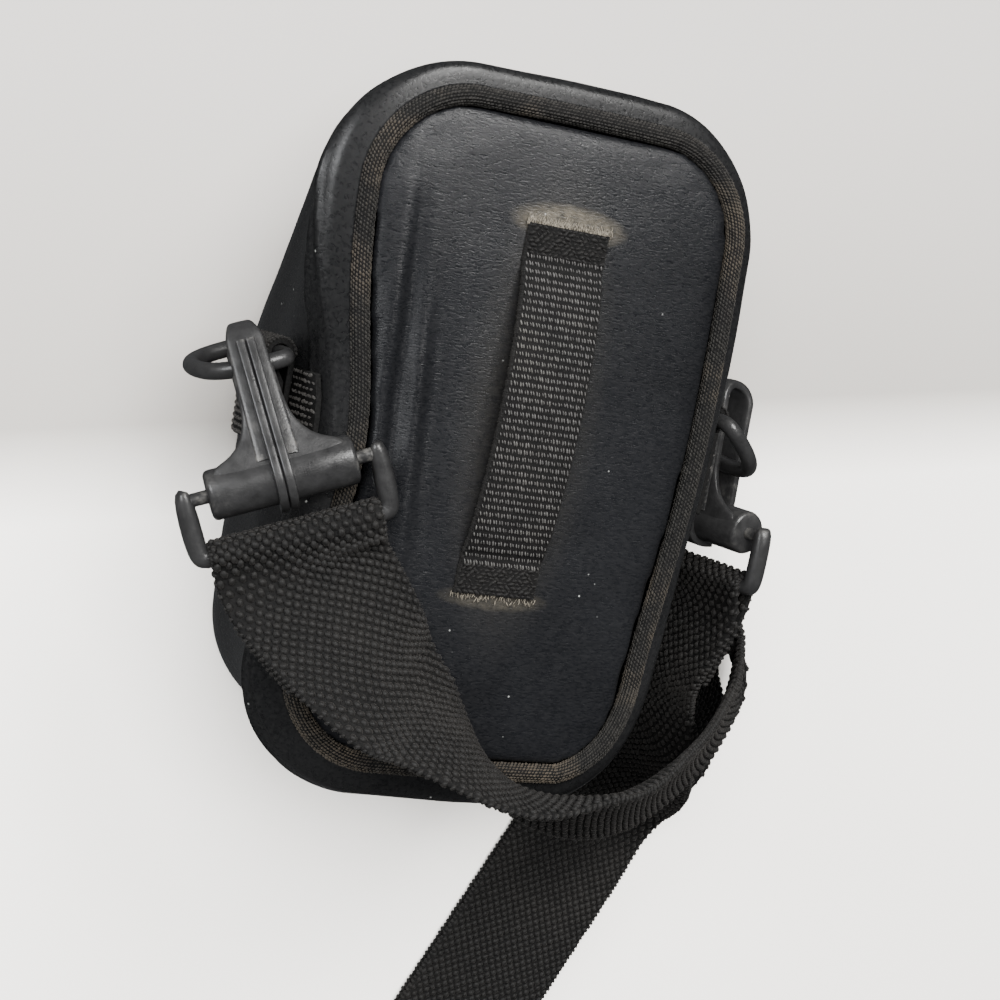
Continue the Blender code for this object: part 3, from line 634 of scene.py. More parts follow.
wallForm = {
    "around": 420, "between": 5, "ripple": 0.00055, "rippleScale": 26.0, "fineRipple": 0.4, "fineScale": 3.1,
    "calmEnds": 0.12, "bandSpread": 0.2, "hollowDepth": 0.6, "hollowPlace": 1.7, "hollowWidth": 1.3,
    "creases": [
        {"turn": 0.60, "spread": 0.05, "share": 0.16, "slope": -0.9, "width": 0.022, "height": 0.0011},
        {"turn": 0.645, "spread": 0.045, "share": 0.24, "slope": 0.8, "width": 0.02, "height": 0.001},
        {"turn": 0.66, "spread": 0.08, "share": 0.36, "slope": -0.5, "width": 0.03, "height": 0.0012},
        {"turn": 0.44, "spread": 0.06, "share": 0.3, "slope": 1.4, "width": 0.035, "height": 0.0014},
        {"turn": 0.40, "spread": 0.05, "share": 0.2, "slope": -1.2, "width": 0.02, "height": 0.0008},
        {"turn": 0.73, "spread": 0.05, "share": 0.3, "slope": 0.7, "width": 0.028, "height": 0.0009},
        {"turn": 0.09, "spread": 0.05, "share": 0.24, "slope": -0.6, "width": 0.03, "height": 0.0009},
        {"turn": 0.93, "spread": 0.04, "share": 0.28, "slope": 0.9, "width": 0.028, "height": 0.0009},
        {"turn": 0.25, "spread": 0.06, "share": 0.3, "slope": 0.3, "width": 0.05, "height": 0.0006},
    ],
}


def wallRelief(turn, share, spot):
    fine = wallForm["rippleScale"] * wallForm["fineScale"]
    relief = wallForm["ripple"] * noise.noise(spot * wallForm["rippleScale"])
    relief += wallForm["fineRipple"] * wallForm["ripple"] * noise.noise(spot * fine)
    for crease in wallForm["creases"]:
        off = (turn - crease["turn"] + 0.5) % 1.0 - 0.5
        ridge = share - crease["share"] - crease["slope"] * off
        beside = bell(off, crease["spread"])
        apart = wallForm["hollowPlace"] * crease["width"]
        hollow = bell(ridge - apart, wallForm["hollowWidth"] * crease["width"])
        relief += crease["height"] * bell(ridge, crease["width"]) * beside
        relief -= wallForm["hollowDepth"] * crease["height"] * hollow * beside
    calm = wallForm["calmEnds"]
    return relief * min(1.0, share / calm, (1 - share) / calm)


def makeSideWall():
    around = wallForm["around"]
    columns = []
    for i in range(around):
        turn = i / around
        point, normal = outlinePoint(turn)
        corners = [Vector((out, depth, 0.0)) for out, depth in wallRows(point, normal)]
        profile = smoothLine(corners, wallForm["between"])
        band = abs(normal.x) * bell(point.y, wallForm["bandSpread"] * halfHeight)
        column = []
        for k, row in enumerate(profile):
            relief = wallRelief(turn, k / (len(profile) - 1), edgePoint(point, normal, row.x, row.y))
            column.append(edgePoint(point, normal, row.x + relief * (1 - band), row.y))
        columns.append(column)
    rows = [[column[k] for column in columns] for k in reversed(range(len(columns[0])))]
    piece = gridShape("sideWall", rows, wallLeather, closed=True)
    wall = piece.modifiers.new("Wall", "SOLIDIFY")
    wall.thickness = caseForm["leather"]
    wall.offset = -1.0
    wall.use_even_offset = False
    piece = bakeModifiers(piece)
    piece.data.shade_smooth()
    addPiece(piece, "leather", "gusset")


frontForm = {"rounding": 0.0004, "segments": 2, "sharpAngle": 50}


def makeFront():
    piece = mergedCopy("front_panel", "plainFront", wallLeather)
    addBevel(piece, frontForm["rounding"], frontForm["segments"], frontForm["sharpAngle"])
    piece = bakeModifiers(piece)
    piece.data.shade_smooth()
    piece.data.set_sharp_from_angle(angle=math.radians(frontForm["sharpAngle"]))
    addPiece(piece, "leather", "front_panel")


# Piping: a cord in woven tape


pipingForm = {
    "around": 620, "sides": 20, "tapeSink": 0.0003, "cordLength": 0.462, "threadPitch": 0.00092,
    "threadSink": 0.00032, "threadLean": 0.35, "columns": 13, "reach": math.radians(118),
    "thread": {"length": 0.00098, "width": 0.0005, "height": 0.00055, "uneven": 0.3,
               "segments": 5, "rings": 3},
}


def pipingPlace(turn):
    radius = caseForm["pipingRadius"]
    point, normal = outlinePoint(turn)
    return edgePoint(point, normal, -radius, caseForm["pipingDrop"])


def pipingFrame(turn):
    centre = pipingPlace(turn)
    way = (pipingPlace(turn + 0.0005) - pipingPlace(turn - 0.0005)).normalized()
    outward = way.cross(up).normalized()
    return centre, way, outward, outward.cross(way).normalized()


def makePiping():
    radius = caseForm["pipingRadius"] - pipingForm["tapeSink"]
    rows = []
    for i in range(pipingForm["around"] + 1):
        centre, way, outward, top = pipingFrame(i % pipingForm["around"] / pipingForm["around"])
        row = []
        for k in range(pipingForm["sides"]):
            angle = 2 * math.pi * k / pipingForm["sides"]
            row.append(centre + (outward * math.sin(angle) + top * math.cos(angle)) * radius)
        rows.append(row)
    piece = gridShape("pipingTape", rows, webbingBase, closed=True)
    with editedMesh(piece.data) as shape:
        bmesh.ops.remove_doubles(shape, verts=shape.verts, dist=0.00002)
        bmesh.ops.recalc_face_normals(shape, faces=shape.faces)
    addPiece(piece, "tape", "piping")


def makePipingThreads():
    radius = caseForm["pipingRadius"] - pipingForm["threadSink"]
    count = int(pipingForm["cordLength"] / pipingForm["threadPitch"])
    places = []
    for i in range(count):
        for k in range(pipingForm["columns"]):
            centre, way, outward, top = pipingFrame((i + 0.5 * (k % 2)) / count)
            angle = pipingForm["reach"] * (2 * k / (pipingForm["columns"] - 1) - 1)
            facing = outward * math.sin(angle) + top * math.cos(angle)
            along = (way + facing.cross(way) * pipingForm["threadLean"]).normalized()
            places.append((centre + facing * radius, facing, along))
    makeBeads("pipingThreads", places, pipingForm["thread"], tapeThread, "tape")


# Belt loop: rows of twin strokes between two sewn ends


loopForm = {
    "width": 0.0195, "length": 0.084, "tack": 0.009, "rise": 0.0052, "thickness": 0.0016, "lean": 0.036,
    "centreY": 0.0085, "steps": 120, "wobble": 0.00012, "edgeDrop": 0.0002,
    "topShares": (-1.0, -0.9, -0.5, 0.0, 0.5, 0.9, 1.0), "lowShares": (1.0, 0.5, 0.0, -0.5, -1.0),
    "rowPitch": 0.00162, "strokes": 26, "strokeSpan": 0.965, "pairShift": 0.00007, "strokeLean": 0.34,
    "stroke": {"length": 0.0012, "width": 0.00036, "height": 0.0005, "uneven": 0.25},
    "tackRows": 8, "tackColumns": 13, "tackPitch": 0.095, "tackInset": 0.0005,
    "tackThread": {"length": 0.0014, "width": 0.0006, "height": 0.0007, "uneven": 0.45},
    "fibres": 420, "fibreOut": 0.0006, "fibreStray": 0.0022, "fibreSpread": 0.0008, "fibreSink": 0.0004,
    "fibre": {"length": 0.0011, "width": 0.00015, "height": 0.00015, "uneven": 0.6},
    "edges": 300, "edgeSink": 0.45,
    "edge": {"length": 0.0014, "width": 0.0004, "height": 0.0005, "uneven": 0.3},
}


def loopPoint(along, across, lift):
    free = loopForm["length"] / 2 - loopForm["tack"]
    rise = loopForm["rise"] * max(0.0, 1 - (along / free) ** 2) ** 0.7
    y = loopForm["centreY"] + along
    middle = loopForm["lean"] * along
    low = max(panelTop(middle + side * loopForm["width"] / 2, y) for side in (-1, 0, 1))
    return Vector((middle + across, y, low + caseForm["seamGap"] + rise + lift))


def loopFrame(along, across):
    place = loopPoint(along, across, loopForm["thickness"])
    way = (loopPoint(along + 0.0004, across, 0.0) - loopPoint(along - 0.0004, across, 0.0)).normalized()
    side = Vector((1.0, 0.0, 0.0))
    return place, side.cross(way).normalized(), way, side


def makeBeltLoop():
    half = loopForm["width"] / 2
    thickness = loopForm["thickness"]
    rows = []
    for i in range(loopForm["steps"] + 1):
        along = (i / loopForm["steps"] - 0.5) * loopForm["length"]
        wide = half + loopForm["wobble"] * noise.noise(Vector((along * 900, 0.0, 0.0)))
        top = [loopPoint(along, wide * share, thickness - loopForm["edgeDrop"] * abs(share) ** 6)
               for share in loopForm["topShares"]]
        rows.append(top + [loopPoint(along, wide * share, 0.0) for share in loopForm["lowShares"]])
    piece = gridShape("beltLoop", rows, webbingBase, closed=True)
    closeEnds(piece.data)
    piece.data.set_sharp_from_angle(angle=math.radians(60))
    addPiece(piece, "webbing", "belt_loop")


def makeLoopStrokes():
    free = loopForm["length"] / 2 - loopForm["tack"] * 0.8
    count = int(2 * free / loopForm["rowPitch"])
    strokes = []
    for i in range(count + 1):
        along = -free + 2 * free * i / count
        for k in range(loopForm["strokes"]):
            pair = loopForm["pairShift"] if k % 2 else -loopForm["pairShift"]
            span = loopForm["width"] / 2 * (2 * (k + 0.5) / loopForm["strokes"] - 1) * loopForm["strokeSpan"]
            chance = noise.noise(Vector((i * 3.7, k * 5.3, 0.4)))
            place, facing, way, side = loopFrame(along + loopForm["wobble"] * chance, span + pair)
            slant = side * (loopForm["strokeLean"] + 0.3 * chance)
            strokes.append((place, facing, (way - slant).normalized()))
    makeBeads("beltLoopStrokes", strokes, loopForm["stroke"], loopThread, "webbing")


def makeLoopTacks():
    columns = loopForm["tackColumns"]
    seams = []
    for end in (-1, 1):
        for i in range(loopForm["tackRows"]):
            inset = i * loopForm["tack"] * loopForm["tackPitch"]
            along = end * (loopForm["length"] / 2 - loopForm["tackInset"] - inset)
            for k in range(columns):
                chance = noise.noise(Vector((i * 2.3 + end, k * 4.1, 1.7)))
                across = loopForm["width"] / 2 * (2 * (k + 0.5 + 0.5 * (i % 2)) / (columns + 0.5) - 1)
                place, facing, way, side = loopFrame(along + 0.0003 * chance, across)
                seams.append((place, facing, (side + way * 2.2 * chance).normalized()))
    makeBeads("beltLoopTacks", seams, loopForm["tackThread"], webbingThread, "webbing")


def makeLoopFibres():
    fibres = []
    for i in range(loopForm["fibres"]):
        end = 1 if i % 5 else -1
        chance = [noise.noise(Vector((i * 1.37, k * 7.1, 0.2))) for k in range(4)]
        share = (i * 0.618) % 1.0 * 2 - 1
        along = end * (loopForm["length"] / 2 + loopForm["fibreOut"]) + loopForm["fibreStray"] * chance[0]
        place, facing, way, side = loopFrame(along, share * (loopForm["width"] / 2 + loopForm["fibreSpread"]))
        sunk = place - facing * (loopForm["fibreSink"] + loopForm["fibreSpread"] * abs(chance[1]))
        heading = side * chance[2] + way * 0.7 + facing * 0.5 * chance[3]
        fibres.append((sunk, facing, heading.normalized()))
    makeBeads("beltLoopFibres", fibres, loopForm["fibre"], fibreThread, "webbing")


def makeLoopEdges():
    edging = []
    for i in range(loopForm["edges"]):
        along = (i / (loopForm["edges"] - 1) - 0.5) * loopForm["length"]
        for side in (-1, 1):
            place, facing, way, across = loopFrame(along, side * loopForm["width"] / 2)
            lowered = place - facing * loopForm["thickness"] * loopForm["edgeSink"]
            edging.append((lowered, (across * side + facing * 0.4).normalized(), facing))
    makeBeads("beltLoopEdges", edging, loopForm["edge"], webbingThread, "webbing")


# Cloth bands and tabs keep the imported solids, with rounded edges


def makeRounded(node, name, width, slotName, material):
    piece = mergedCopy(node, name, material)
    with editedMesh(piece.data) as shape:
        bmesh.ops.dissolve_limit(shape, angle_limit=math.radians(1.0), verts=shape.verts, edges=shape.edges)
    addBevel(piece, width, 3, 32)
    weighted = piece.modifiers.new("Normals", "WEIGHTED_NORMAL")
    weighted.keep_sharp = True
    piece = bakeModifiers(piece)
    piece.data.shade_smooth()
    piece.data.set_sharp_from_angle(angle=math.radians(34))
    addPiece(piece, slotName, node)


# Snap hooks: barrel, pin, nose, flared body and twin ridges, along the hook's own axes


hookForm = {
    "reach": 0.031, "eye": 0.0033, "wall": 0.0023, "noseWidth": 0.0096, "noseTip": 0.42, "noseStart": 0.003,
    "barrel": 0.0325, "barrelRadius": 0.0055, "barrelSides": 40,
    "pin": 0.0015, "pinSides": 16, "pinReach": 0.0205,
    "flareSink": 0.0005, "ridgeApart": 0.0011, "ridgeRadius": 0.001, "sectionSides": 24,
    "flare": [(0.06, 0.47), (0.13, 0.42), (0.19, 0.31), (0.26, 0.235), (0.36, 0.18), (0.5, 0.15),
              (0.75, 0.14)],
    "barrelEnds": [(-0.5, 0.02), (-0.5, 0.82), (-0.488, 0.95), (-0.465, 1.0), (-0.2, 1.0), (0.2, 1.0),
                   (0.465, 1.0), (0.488, 0.95), (0.5, 0.82), (0.5, 0.02)],
    "ridge": [(-0.006, -0.0026), (-0.006, 0.0006), (-0.005, 0.0034), (-0.002, 0.0056), (0.003, 0.006),
              (0.0085, 0.0058), (0.016, 0.006), (0.024, 0.0061), (0.03, 0.0057)],
}


def softSection(halfWide, halfThick):
    found = []
    for i in range(hookForm["sectionSides"]):
        angle = 2 * math.pi * i / hookForm["sectionSides"]
        a, b = math.cos(angle), math.sin(angle)
        wide = math.copysign(abs(a) ** 0.4, a) * halfWide
        found.append((wide, math.copysign(abs(b) ** 0.55, b) * halfThick))
    return found


def sweptRows(path, halfWide, halfThick, aside=0.0, tip=1.0):
    rows = []
    for i, spot in enumerate(path):
        wide = halfWide * (tip + (1 - tip) * abs(2 * i / (len(path) - 1) - 1))
        way = (path[min(i + 1, len(path) - 1)] - path[max(i - 1, 0)]).normalized()
        normal = Vector((1.0, 0.0, 0.0)).cross(way)
        centre = spot + Vector((aside, 0.0, 0.0))
        rows.append([centre + Vector((a, 0.0, 0.0)) + normal * b for a, b in softSection(wide, halfThick)])
    return rows


def roundRow(x, radius, sides):
    angles = [2 * math.pi * i / sides for i in range(sides)]
    return [Vector((x, radius * math.cos(angle), radius * math.sin(angle))) for angle in angles]


def nosePath(middle):
    start, reach = hookForm["noseStart"], hookForm["reach"]
    over = [Vector((0.0, y, middle)) for y in (start, reach * 0.5, reach)]
    angles = [math.radians(degrees) for degrees in range(75, -90, -15)]
    bend = [Vector((0.0, reach + middle * math.cos(angle), middle * math.sin(angle))) for angle in angles]
    under = [Vector((0.0, y, -middle)) for y in (reach, reach * 0.5, start)]
    return over + bend + under


def hookGroups():
    long, reach, halfWall = hookForm["barrel"], hookForm["reach"], hookForm["wall"] / 2
    middle = hookForm["eye"] + halfWall
    barrel = [roundRow(long * share, hookForm["barrelRadius"] * size, hookForm["barrelSides"])
              for share, size in hookForm["barrelEnds"]]
    pin = [roundRow(x, hookForm["pin"], hookForm["pinSides"])
           for x in (-hookForm["pinReach"], 0.0, hookForm["pinReach"])]
    nose = sweptRows(nosePath(middle), hookForm["noseWidth"] / 2, halfWall, tip=hookForm["noseTip"])
    flare = []
    for spot in smoothLine([Vector((along, wide, 0.0)) for along, wide in hookForm["flare"]], 5):
        section = softSection(long * spot.y, halfWall)
        flare.append([Vector((a, reach * spot.x, middle - hookForm["flareSink"] + b)) for a, b in section])
    ridge = smoothLine([Vector((0.0, y, z)) for y, z in hookForm["ridge"]], 5)
    size = hookForm["ridgeRadius"]
    ridges = [sweptRows(ridge, size, size, side * hookForm["ridgeApart"]) for side in (-1, 1)]
    return [barrel, pin, nose, flare] + ridges


def makeHook(word, hook):
    shape = bmesh.new()
    matrix = hookPlace(hook)
    for rows in hookGroups():
        part = gridShape("part", [[matrix @ spot for spot in row] for row in rows], None, closed=True)
        shape.from_mesh(part.data)
        bpy.data.objects.remove(part)
    bmesh.ops.holes_fill(shape, edges=shape.edges, sides=hookForm["barrelSides"])
    bmesh.ops.recalc_face_normals(shape, faces=shape.faces)
    mesh = bpy.data.meshes.new(f"{word}SnapHook")
    shape.to_mesh(mesh)
    shape.free()
    piece = meshObject(f"{word}SnapHook", mesh, blackPlastic)
    mesh.shade_smooth()
    mesh.set_sharp_from_angle(angle=math.radians(50))
    addPiece(piece, "plastic", f"{word}_snap_hook")


# Rings and strap frames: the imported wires, smoothed and a little fuller


wireForm = {"levels": 2, "ringExtra": 0.0004, "frameExtra": 0.0006}


def makeRoundWire(node, name, extra, material):
    piece = mergedCopy(node, name, material)
    with editedMesh(piece.data) as shape:
        bmesh.ops.join_triangles(shape, faces=shape.faces, angle_face_threshold=3.0,
                                 angle_shape_threshold=3.0)
    addSubdivision(piece, wireForm["levels"])
    fuller = piece.modifiers.new("Fuller", "DISPLACE")
    fuller.mid_level = 0.0
    fuller.strength = extra
    piece = bakeModifiers(piece)
    piece.data.shade_smooth()
    addPiece(piece, "plastic", node)


# Side bands and ring tabs: their cloth with rows of long threads


fittings = {
    "bandWidth": 0.020, "bandThickness": 0.0014, "bandGap": 0.0005, "rowPitch": 0.0015, "threadPitch": 0.0019,
    "threadTilt": 0.22, "threadSink": 0.0001, "rounding": 0.0003,
    "bandThread": {"length": 0.0021, "width": 0.0009, "height": 0.0008, "uneven": 0.22},
    "tabWidth": 0.0158, "tabLength": 0.018, "tabThickness": 0.0014, "tabPlace": 0.24, "tabGap": 0.0008,
    "tabRows": 14, "tabColumns": 9, "bendSteps": 24,
    "tabThread": {"length": 0.0019, "width": 0.0011, "height": 0.0008, "uneven": 0.25},
    "ringGap": 0.0005, "ringWire": 0.0017, "ringBar": 0.029, "ringReach": 0.0174, "barHeight": 0.0125,
    "bowStart": 0.16,
}


def makeSideBand(side, word):
    makeRounded(f"{word}_side_band", f"{word}SideBand", fittings["rounding"], "webbing", webbingBase)
    last = len(caseForm["rollRows"]) + len(caseForm["bodyRows"]) - 3
    places = []
    rowCount = int(fittings["bandWidth"] / fittings["rowPitch"])
    pitch = fittings["threadPitch"]
    lift = fittings["bandGap"] + fittings["bandThickness"] - fittings["threadSink"]
    for i in range(rowCount):
        y = fittings["bandWidth"] * ((i + 0.5) / rowCount - 0.5)
        line = smoothLine([sidePoint(side, y, row, lift) for row in range(2, last + 1)], 24)
        tilt = Vector((0.0, fittings["threadTilt"] if i % 2 else -fittings["threadTilt"], 0.0))
        gone = 0.5 * pitch * (i % 2)
        for a, b in zip(line, line[1:]):
            gone += (b - a).length
            if gone >= pitch:
                gone -= pitch
                way = (b - a).normalized()
                facing = way.cross(Vector((0.0, 1.0, 0.0))).normalized()
                facing = facing if facing.x * side > 0 else -facing
                places.append((a, facing, (way + tilt).normalized()))
    makeBeads(f"{word}BandThreads", places, fittings["bandThread"], bandThread, "webbing")


def sideFrame(side):
    rolls = len(caseForm["rollRows"])
    clear = fittings["bandGap"] + fittings["bandThickness"]
    upper = sidePoint(side, 0.0, rolls - 1, clear)
    lower = sidePoint(side, 0.0, rolls + 1, clear)
    bar = (upper - lower).normalized()
    top = Vector((0.0, 1.0, 0.0))
    out = top.cross(bar) * side
    proud = max((sidePoint(side, 0.0, row, clear) - upper).dot(out) for row in range(rolls - 3, rolls + 2))
    lift = proud + fittings["tabGap"] + fittings["tabThickness"] / 2
    place = upper.lerp(lower, fittings["tabPlace"]) + out * lift
    return Matrix.Translation(place) @ Matrix((out, top, bar)).transposed().to_4x4()


def tabTurn():
    return fittings["ringWire"] + fittings["ringGap"] + fittings["tabThickness"] / 2


def barPlace():
    return Vector((tabTurn(), fittings["barHeight"], 0.0))


def bowPoint(share, swing):
    angle = math.pi * share
    width = math.copysign(abs(math.cos(angle)) ** 0.75, math.cos(angle))
    reach = fittings["bowStart"] + (1 - fittings["bowStart"]) * math.sin(angle) ** 0.8
    out = Vector((math.cos(swing), math.sin(swing), 0.0)) * fittings["ringReach"] * reach
    return barPlace() + out + Vector((0.0, 0.0, fittings["ringBar"] / 2 * width))


def tabLine():
    centre = barPlace()
    outer = tabTurn() + fittings["tabThickness"] / 2
    line = []
    for i in range(fittings["bendSteps"] + 1):
        angle = math.pi * (1 - i / fittings["bendSteps"])
        normal = Vector((math.cos(angle), math.sin(angle), 0.0))
        line.append((centre + normal * outer, normal))
    for i in range(1, fittings["tabRows"]):
        drop = -tabTurn() * 2 - fittings["tabLength"] * 0.9 * i / fittings["tabRows"]
        spot = Vector((fittings["tabThickness"] * 1.75, centre.y + drop, 0.0))
        line.append((spot, Vector((1.0, 0.0, 0.0))))
    return line


def makeRingTab(side, word):
    makeRounded(f"{word}_ring_tab", f"{word}RingTab", fittings["rounding"], "webbing", webbingBase)
    matrix = sideFrame(side)
    spin = matrix.to_3x3()
    columns = fittings["tabColumns"]
    places = []
    for i, (spot, normal) in enumerate(tabLine()):
        for k in range(columns):
            across = fittings["tabWidth"] * ((k + 0.25 + 0.5 * (i % 2)) / columns - 0.5)
            places.append((matrix @ (spot + up * across), spin @ normal, spin @ up))
    makeBeads(f"{word}TabThreads", places, fittings["tabThread"], webbingThread, "webbing")


# Shoulder strap: the route of its middle, from one sewn end to the other


strapForm = {
    "width": 0.0385, "thickness": 0.0018, "gap": 0.0004, "sewnEnd": 0.028, "leadShare": 0.3,
    "floorRun": 0.27, "foldRadius": 0.009, "frameWire": 0.0019, "frameDrop": 0.0135,
    "floorStart": (1.465, -1.29), "edgeIn": 0.0004, "faceIn": 0.0003, "stitchIn": 0.0001,
    "beadsAcross": 15, "beadSpan": 0.985, "beadLift": 0.00005, "rowPitch": 0.00128,
    "beadLeans": (-0.15, 0.55),
    "bead": {"length": 0.0023, "width": 0.00165, "height": 0.00125, "uneven": 0.14, "rings": 3},
    "edge": {"length": 0.0019, "width": 0.00105, "height": 0.0011, "uneven": 0.2, "segments": 5, "rings": 3},
    "stretches": {"Left": (0, 0.3), "Middle": (0.3, 0.6), "Right": (0.6, 1.01)},
    "faces": [{"name": "Outer", "side": 1, "segments": 6}, {"name": "Inner", "side": -1, "segments": 4}],
    "profile": [(-1.0, 0.5), (-0.97, 1.0), (-0.5, 1.0), (0.0, 1.0), (0.5, 1.0), (0.97, 1.0), (1.0, 0.5),
                (1.0, -0.5), (0.97, -1.0), (0.5, -1.0), (0.0, -1.0), (-0.5, -1.0), (-0.97, -1.0),
                (-1.0, -0.5)],
}
floorHeading = Vector((-0.442, -0.897, 0.0)).normalized()

# Shares of the half width, half height and depth, and the direction across the strap
leftRoute = [
    {"place": (-0.79, -0.555, 1.148), "across": (0.87, 0.4, -0.2)},
    {"place": (-0.635, -0.66, 1.215), "across": (0.79, 0.37, -0.47)},
    {"place": (-0.478, -0.733, 1.25), "across": (0.66, 0.34, -0.67)},
    {"place": (-0.344, -0.783, 1.29), "across": (0.54, 0.24, -0.8)},
    {"place": (-0.2, -0.835, 1.31), "across": (0.43, 0.13, -0.89)},
    {"place": (0.03, -0.923, 1.3), "across": (0.25, -0.1, -0.96)},
    {"place": (0.3, -0.975, 1.25), "across": (0.12, -0.36, -0.92)},
    {"place": (0.63, -1.01, 1.15), "across": (0.14, -0.5, -0.85)},
    {"place": (0.98, -1.0, 1.0), "across": (0.2, -0.6, -0.77)},
    {"place": (1.33, -0.95, 0.81), "across": (0.32, -0.56, -0.76)},
    {"place": (1.66, -0.845, 0.6), "across": (0.48, -0.4, -0.78)},
    {"place": (1.86, -0.73, 0.43), "across": (0.56, -0.2, -0.8)},
    {"place": (1.925, -0.65, 0.335), "across": (0.55, -0.05, -0.83)},
    {"place": (1.87, -0.605, 0.316), "across": (0.56, -0.05, -0.83)},
    {"place": (1.79, -0.62, 0.294), "across": (0.58, -0.05, -0.81)},
    {"place": (1.745, -0.69, 0.265), "across": (0.62, -0.07, -0.78)},
    {"place": (1.76, -0.8, 0.221), "across": (0.72, -0.1, -0.68)},
    {"place": (1.8, -0.96, 0.162), "across": (0.87, -0.1, -0.49)},
    {"place": (1.72, -1.12, 0.035), "across": (0.93, -0.33, -0.02)},
]
rightRoute = [
    {"place": (1.48, -1.13, 0.17), "across": (0.8, -0.3, 0.5)},
    {"place": (1.38, -0.923, 0.38), "across": (0.35, -0.1, 0.93)},
    {"place": (1.34, -0.71, 0.42), "across": (0.25, -0.03, 0.97)},
]
hooks = {
    "left": {"side": -1, "swing": math.radians(-22), "grip": 0.12, "seat": 0.84,
             "across": (0.9, 0.39, 0.16), "down": (0.28, -0.85, 0.51), "tilt": math.radians(28)},
    "right": {"side": 1, "swing": math.radians(-43), "grip": 0.65, "seat": 0.5,
              "across": (0.25, -0.03, 0.97), "down": (0.0, -0.99, -0.03), "tilt": 0.0},
}


def hookPlace(hook):
    x = Vector(hook["across"]).normalized()
    down = Vector(hook["down"])
    y = -(down - x * x.dot(down)).normalized()
    grip = sideFrame(hook["side"]) @ bowPoint(hook["grip"], hook["swing"])
    place = grip - y * hookForm["reach"] * hook["seat"]
    return Matrix.Translation(place) @ Matrix((x, y, x.cross(y))).transposed().to_4x4()


def framePlace(hook):
    return hookPlace(hook) @ Matrix.Rotation(hook["tilt"], 4, "X")


def sharePlace(shares):
    return Vector((shares[0] * halfWidth, shares[1] * halfHeight, shares[2] * caseForm["depth"]))


def leadIn(hook):
    held = framePlace(hook)
    turn = held.to_3x3()
    return held @ Vector((0.0, -strapForm["frameDrop"], 0.0)), -turn.col[1], turn.col[0], turn.col[2]


def ribbon(start, route):
    bar, down, across, face = start
    points = [bar, bar + down * strapForm["sewnEnd"] * strapForm["leadShare"]]
    points += [sharePlace(row["place"]) for row in route]
    turns = [across] * 2 + [Vector(row["across"]).normalized() for row in route]
    return list(zip(smoothLine(points, 3), smoothLine(turns, 3)))


def sewnEnd(start, stations):
    bar, down, across, face = start
    turn = strapForm["frameWire"] + caseForm["seamGap"] + strapForm["thickness"] / 2
    low = (strapForm["thickness"] + strapForm["gap"]) / 2
    under, over, gone = [], [], 0.0
    for i, (point, turned) in enumerate(stations):
        way = (stations[min(i + 1, len(stations) - 1)][0] - stations[max(i - 1, 0)][0]).normalized()
        normal = way.cross(turned).normalized()
        normal = normal if normal.dot(face) > 0 else -normal
        if i:
            gone += (point - stations[i - 1][0]).length
        apart = low + (turn - low) * max(0.0, 1 - gone / (4 * turn)) ** 2
        if i and gone < strapForm["sewnEnd"]:
            under.append((point - normal * apart, turned))
        fade = max(0.0, 1 - max(0.0, gone - strapForm["sewnEnd"]) / strapForm["sewnEnd"])
        if i:
            over.append((point + normal * apart * fade, turned))
    bend = []
    for i in range(9):
        angle = math.pi * i / 8
        bend.append((bar - down * turn * math.sin(angle) - face * turn * math.cos(angle), across))
    return list(reversed(under)) + bend + over


def floorRun():
    low = strapForm["thickness"] / 2 + caseForm["seamGap"]
    high = low + strapForm["thickness"] + strapForm["gap"]
    start = Vector((strapForm["floorStart"][0] * halfWidth, strapForm["floorStart"][1] * halfHeight, 0.0))
    run, radius = strapForm["floorRun"], strapForm["foldRadius"]
    points = [start + floorHeading * run * share + up * low for share in (0.0, 0.25, 0.5, 0.75, 0.93)]
    end = start + floorHeading * run
    for i in range(9):
        angle = math.pi * (i / 8 - 0.5)
        rise = low + radius * (1 + math.sin(angle))
        points.append(end + floorHeading * radius * math.cos(angle) + up * rise)
    for back, drop in ((1.0, 0.1), (2.2, 0.45)):
        points.append(end - floorHeading * radius * back + up * (low + radius * (2 - drop)))
    points += [start + floorHeading * run * share + up * high for share in (0.8, 0.7, 0.5, 0.25, 0.0)]
    return points


def strapStations():
    starts = {word: leadIn(hook) for word, hook in hooks.items()}
    flat = Vector((-floorHeading.y, floorHeading.x, 0.0))
    left = ribbon(starts["left"], leftRoute)
    right = ribbon(starts["right"], list(reversed(rightRoute)))
    bridge = [left[-1][0]] + smoothLine(floorRun(), 3) + [right[-1][0]]
    laid = [(point, flat) for point in bridge[1:-1]]
    return sewnEnd(starts["left"], left) + laid + list(reversed(sewnEnd(starts["right"], right)))


def evenStations(stations, pitch):
    points = smoothLine([point for point, across in stations], 8)
    turns = smoothLine([across.normalized() for point, across in stations], 8)
    found, gone, nextStop = [], 0.0, 0.0
    for i in range(1, len(points)):
        step = (points[i] - points[i - 1]).length
        while step and gone + step >= nextStop:
            t = (nextStop - gone) / step
            found.append((points[i - 1].lerp(points[i], t), turns[i - 1].lerp(turns[i], t)))
            nextStop += pitch
        gone += step
    framed = []
    for i, (point, across) in enumerate(found):
        way = (found[min(i + 2, len(found) - 1)][0] - found[max(i - 2, 0)][0]).normalized()
        across = (across - way * way.dot(across)).normalized()
        framed.append((point, way, across, way.cross(across).normalized()))
    return framed


def strapSizes():
    return strapForm["width"] / 2 - strapForm["edgeIn"], strapForm["thickness"] / 2 - strapForm["faceIn"]


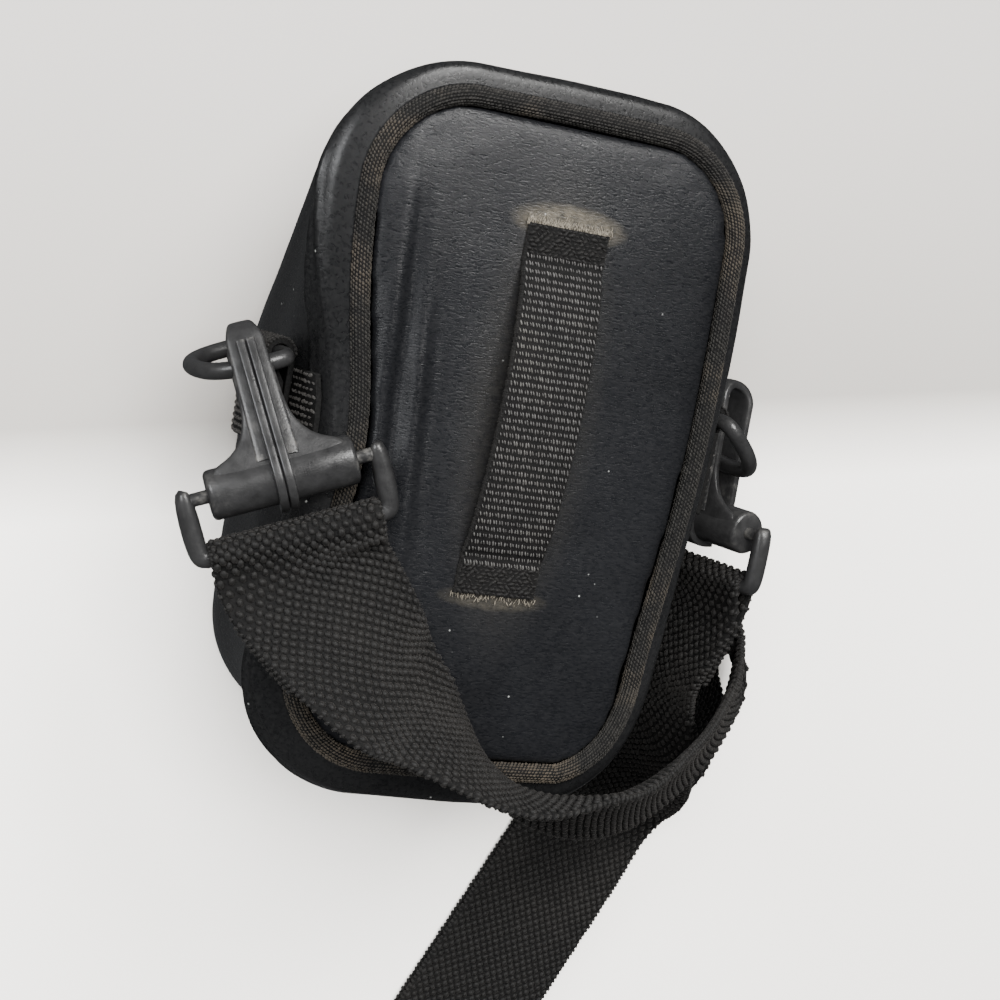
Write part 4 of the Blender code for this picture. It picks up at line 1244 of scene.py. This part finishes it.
def makeStrap(stations):
    half, thick = strapSizes()
    rows = [[point + across * half * a + normal * thick * b for a, b in strapForm["profile"]]
            for point, way, across, normal in stations]
    piece = gridShape("strapCloth", rows, webbingBase, closed=True)
    closeEnds(piece.data)
    addPiece(piece, "webbing", "shoulder_strap")


def makeStrapBeads(stations, label, face):
    half, thick = strapSizes()
    first, last = strapForm["stretches"][label]
    columns, side = strapForm["beadsAcross"], face["side"]
    places = []
    for i, (point, way, across, normal) in enumerate(stations):
        if not first <= i / len(stations) < last:
            continue
        along = (way + across * strapForm["beadLeans"][i % 2]).normalized()
        for k in range(columns):
            off = 2 * (k + 0.25 + 0.5 * (i % 2)) / columns - 1
            spot = point + across * half * off * strapForm["beadSpan"]
            spot += normal * side * (thick + strapForm["beadLift"])
            places.append((spot, normal * side, along))
    bead = {**strapForm["bead"], "segments": face["segments"]}
    makeBeads(f"strapBeads{label}{face['name']}", places, bead, webbingThread, "webbing")


def makeStrapEdges(stations):
    reach = strapSizes()[0] - strapForm["stitchIn"]
    edging = []
    for point, way, across, normal in stations:
        for side in (-1, 1):
            edging.append((point + across * side * reach, across * side, normal + way * 0.3))
    makeBeads("strapEdges", edging, strapForm["edge"], webbingThread, "webbing")


# Everything is made in turn


makeCamera()
makeLights()
makeFloor()
print("camera, lights and floor made")
makeBackPanel()
makeSideWall()
makeFront()
makePiping()
makePipingThreads()
makeBeltLoop()
makeLoopStrokes()
makeLoopTacks()
makeLoopFibres()
makeLoopEdges()
for word, hook in hooks.items():
    makeSideBand(hook["side"], word)
    makeRingTab(hook["side"], word)
    makeRoundWire(f"{word}_ring", f"{word}Ring", wireForm["ringExtra"], blackPlastic)
    makeHook(word, hook)
    makeRoundWire(f"{word}_strap_frame", f"{word}StrapFrame", wireForm["frameExtra"], blackPlastic)
strapLine = evenStations(strapStations(), strapForm["rowPitch"])
print("strap stations:", len(strapLine))
makeStrap(strapLine)
for label in strapForm["stretches"]:
    for face in strapForm["faces"]:
        makeStrapBeads(strapLine, label, face)
makeStrapEdges(strapLine)
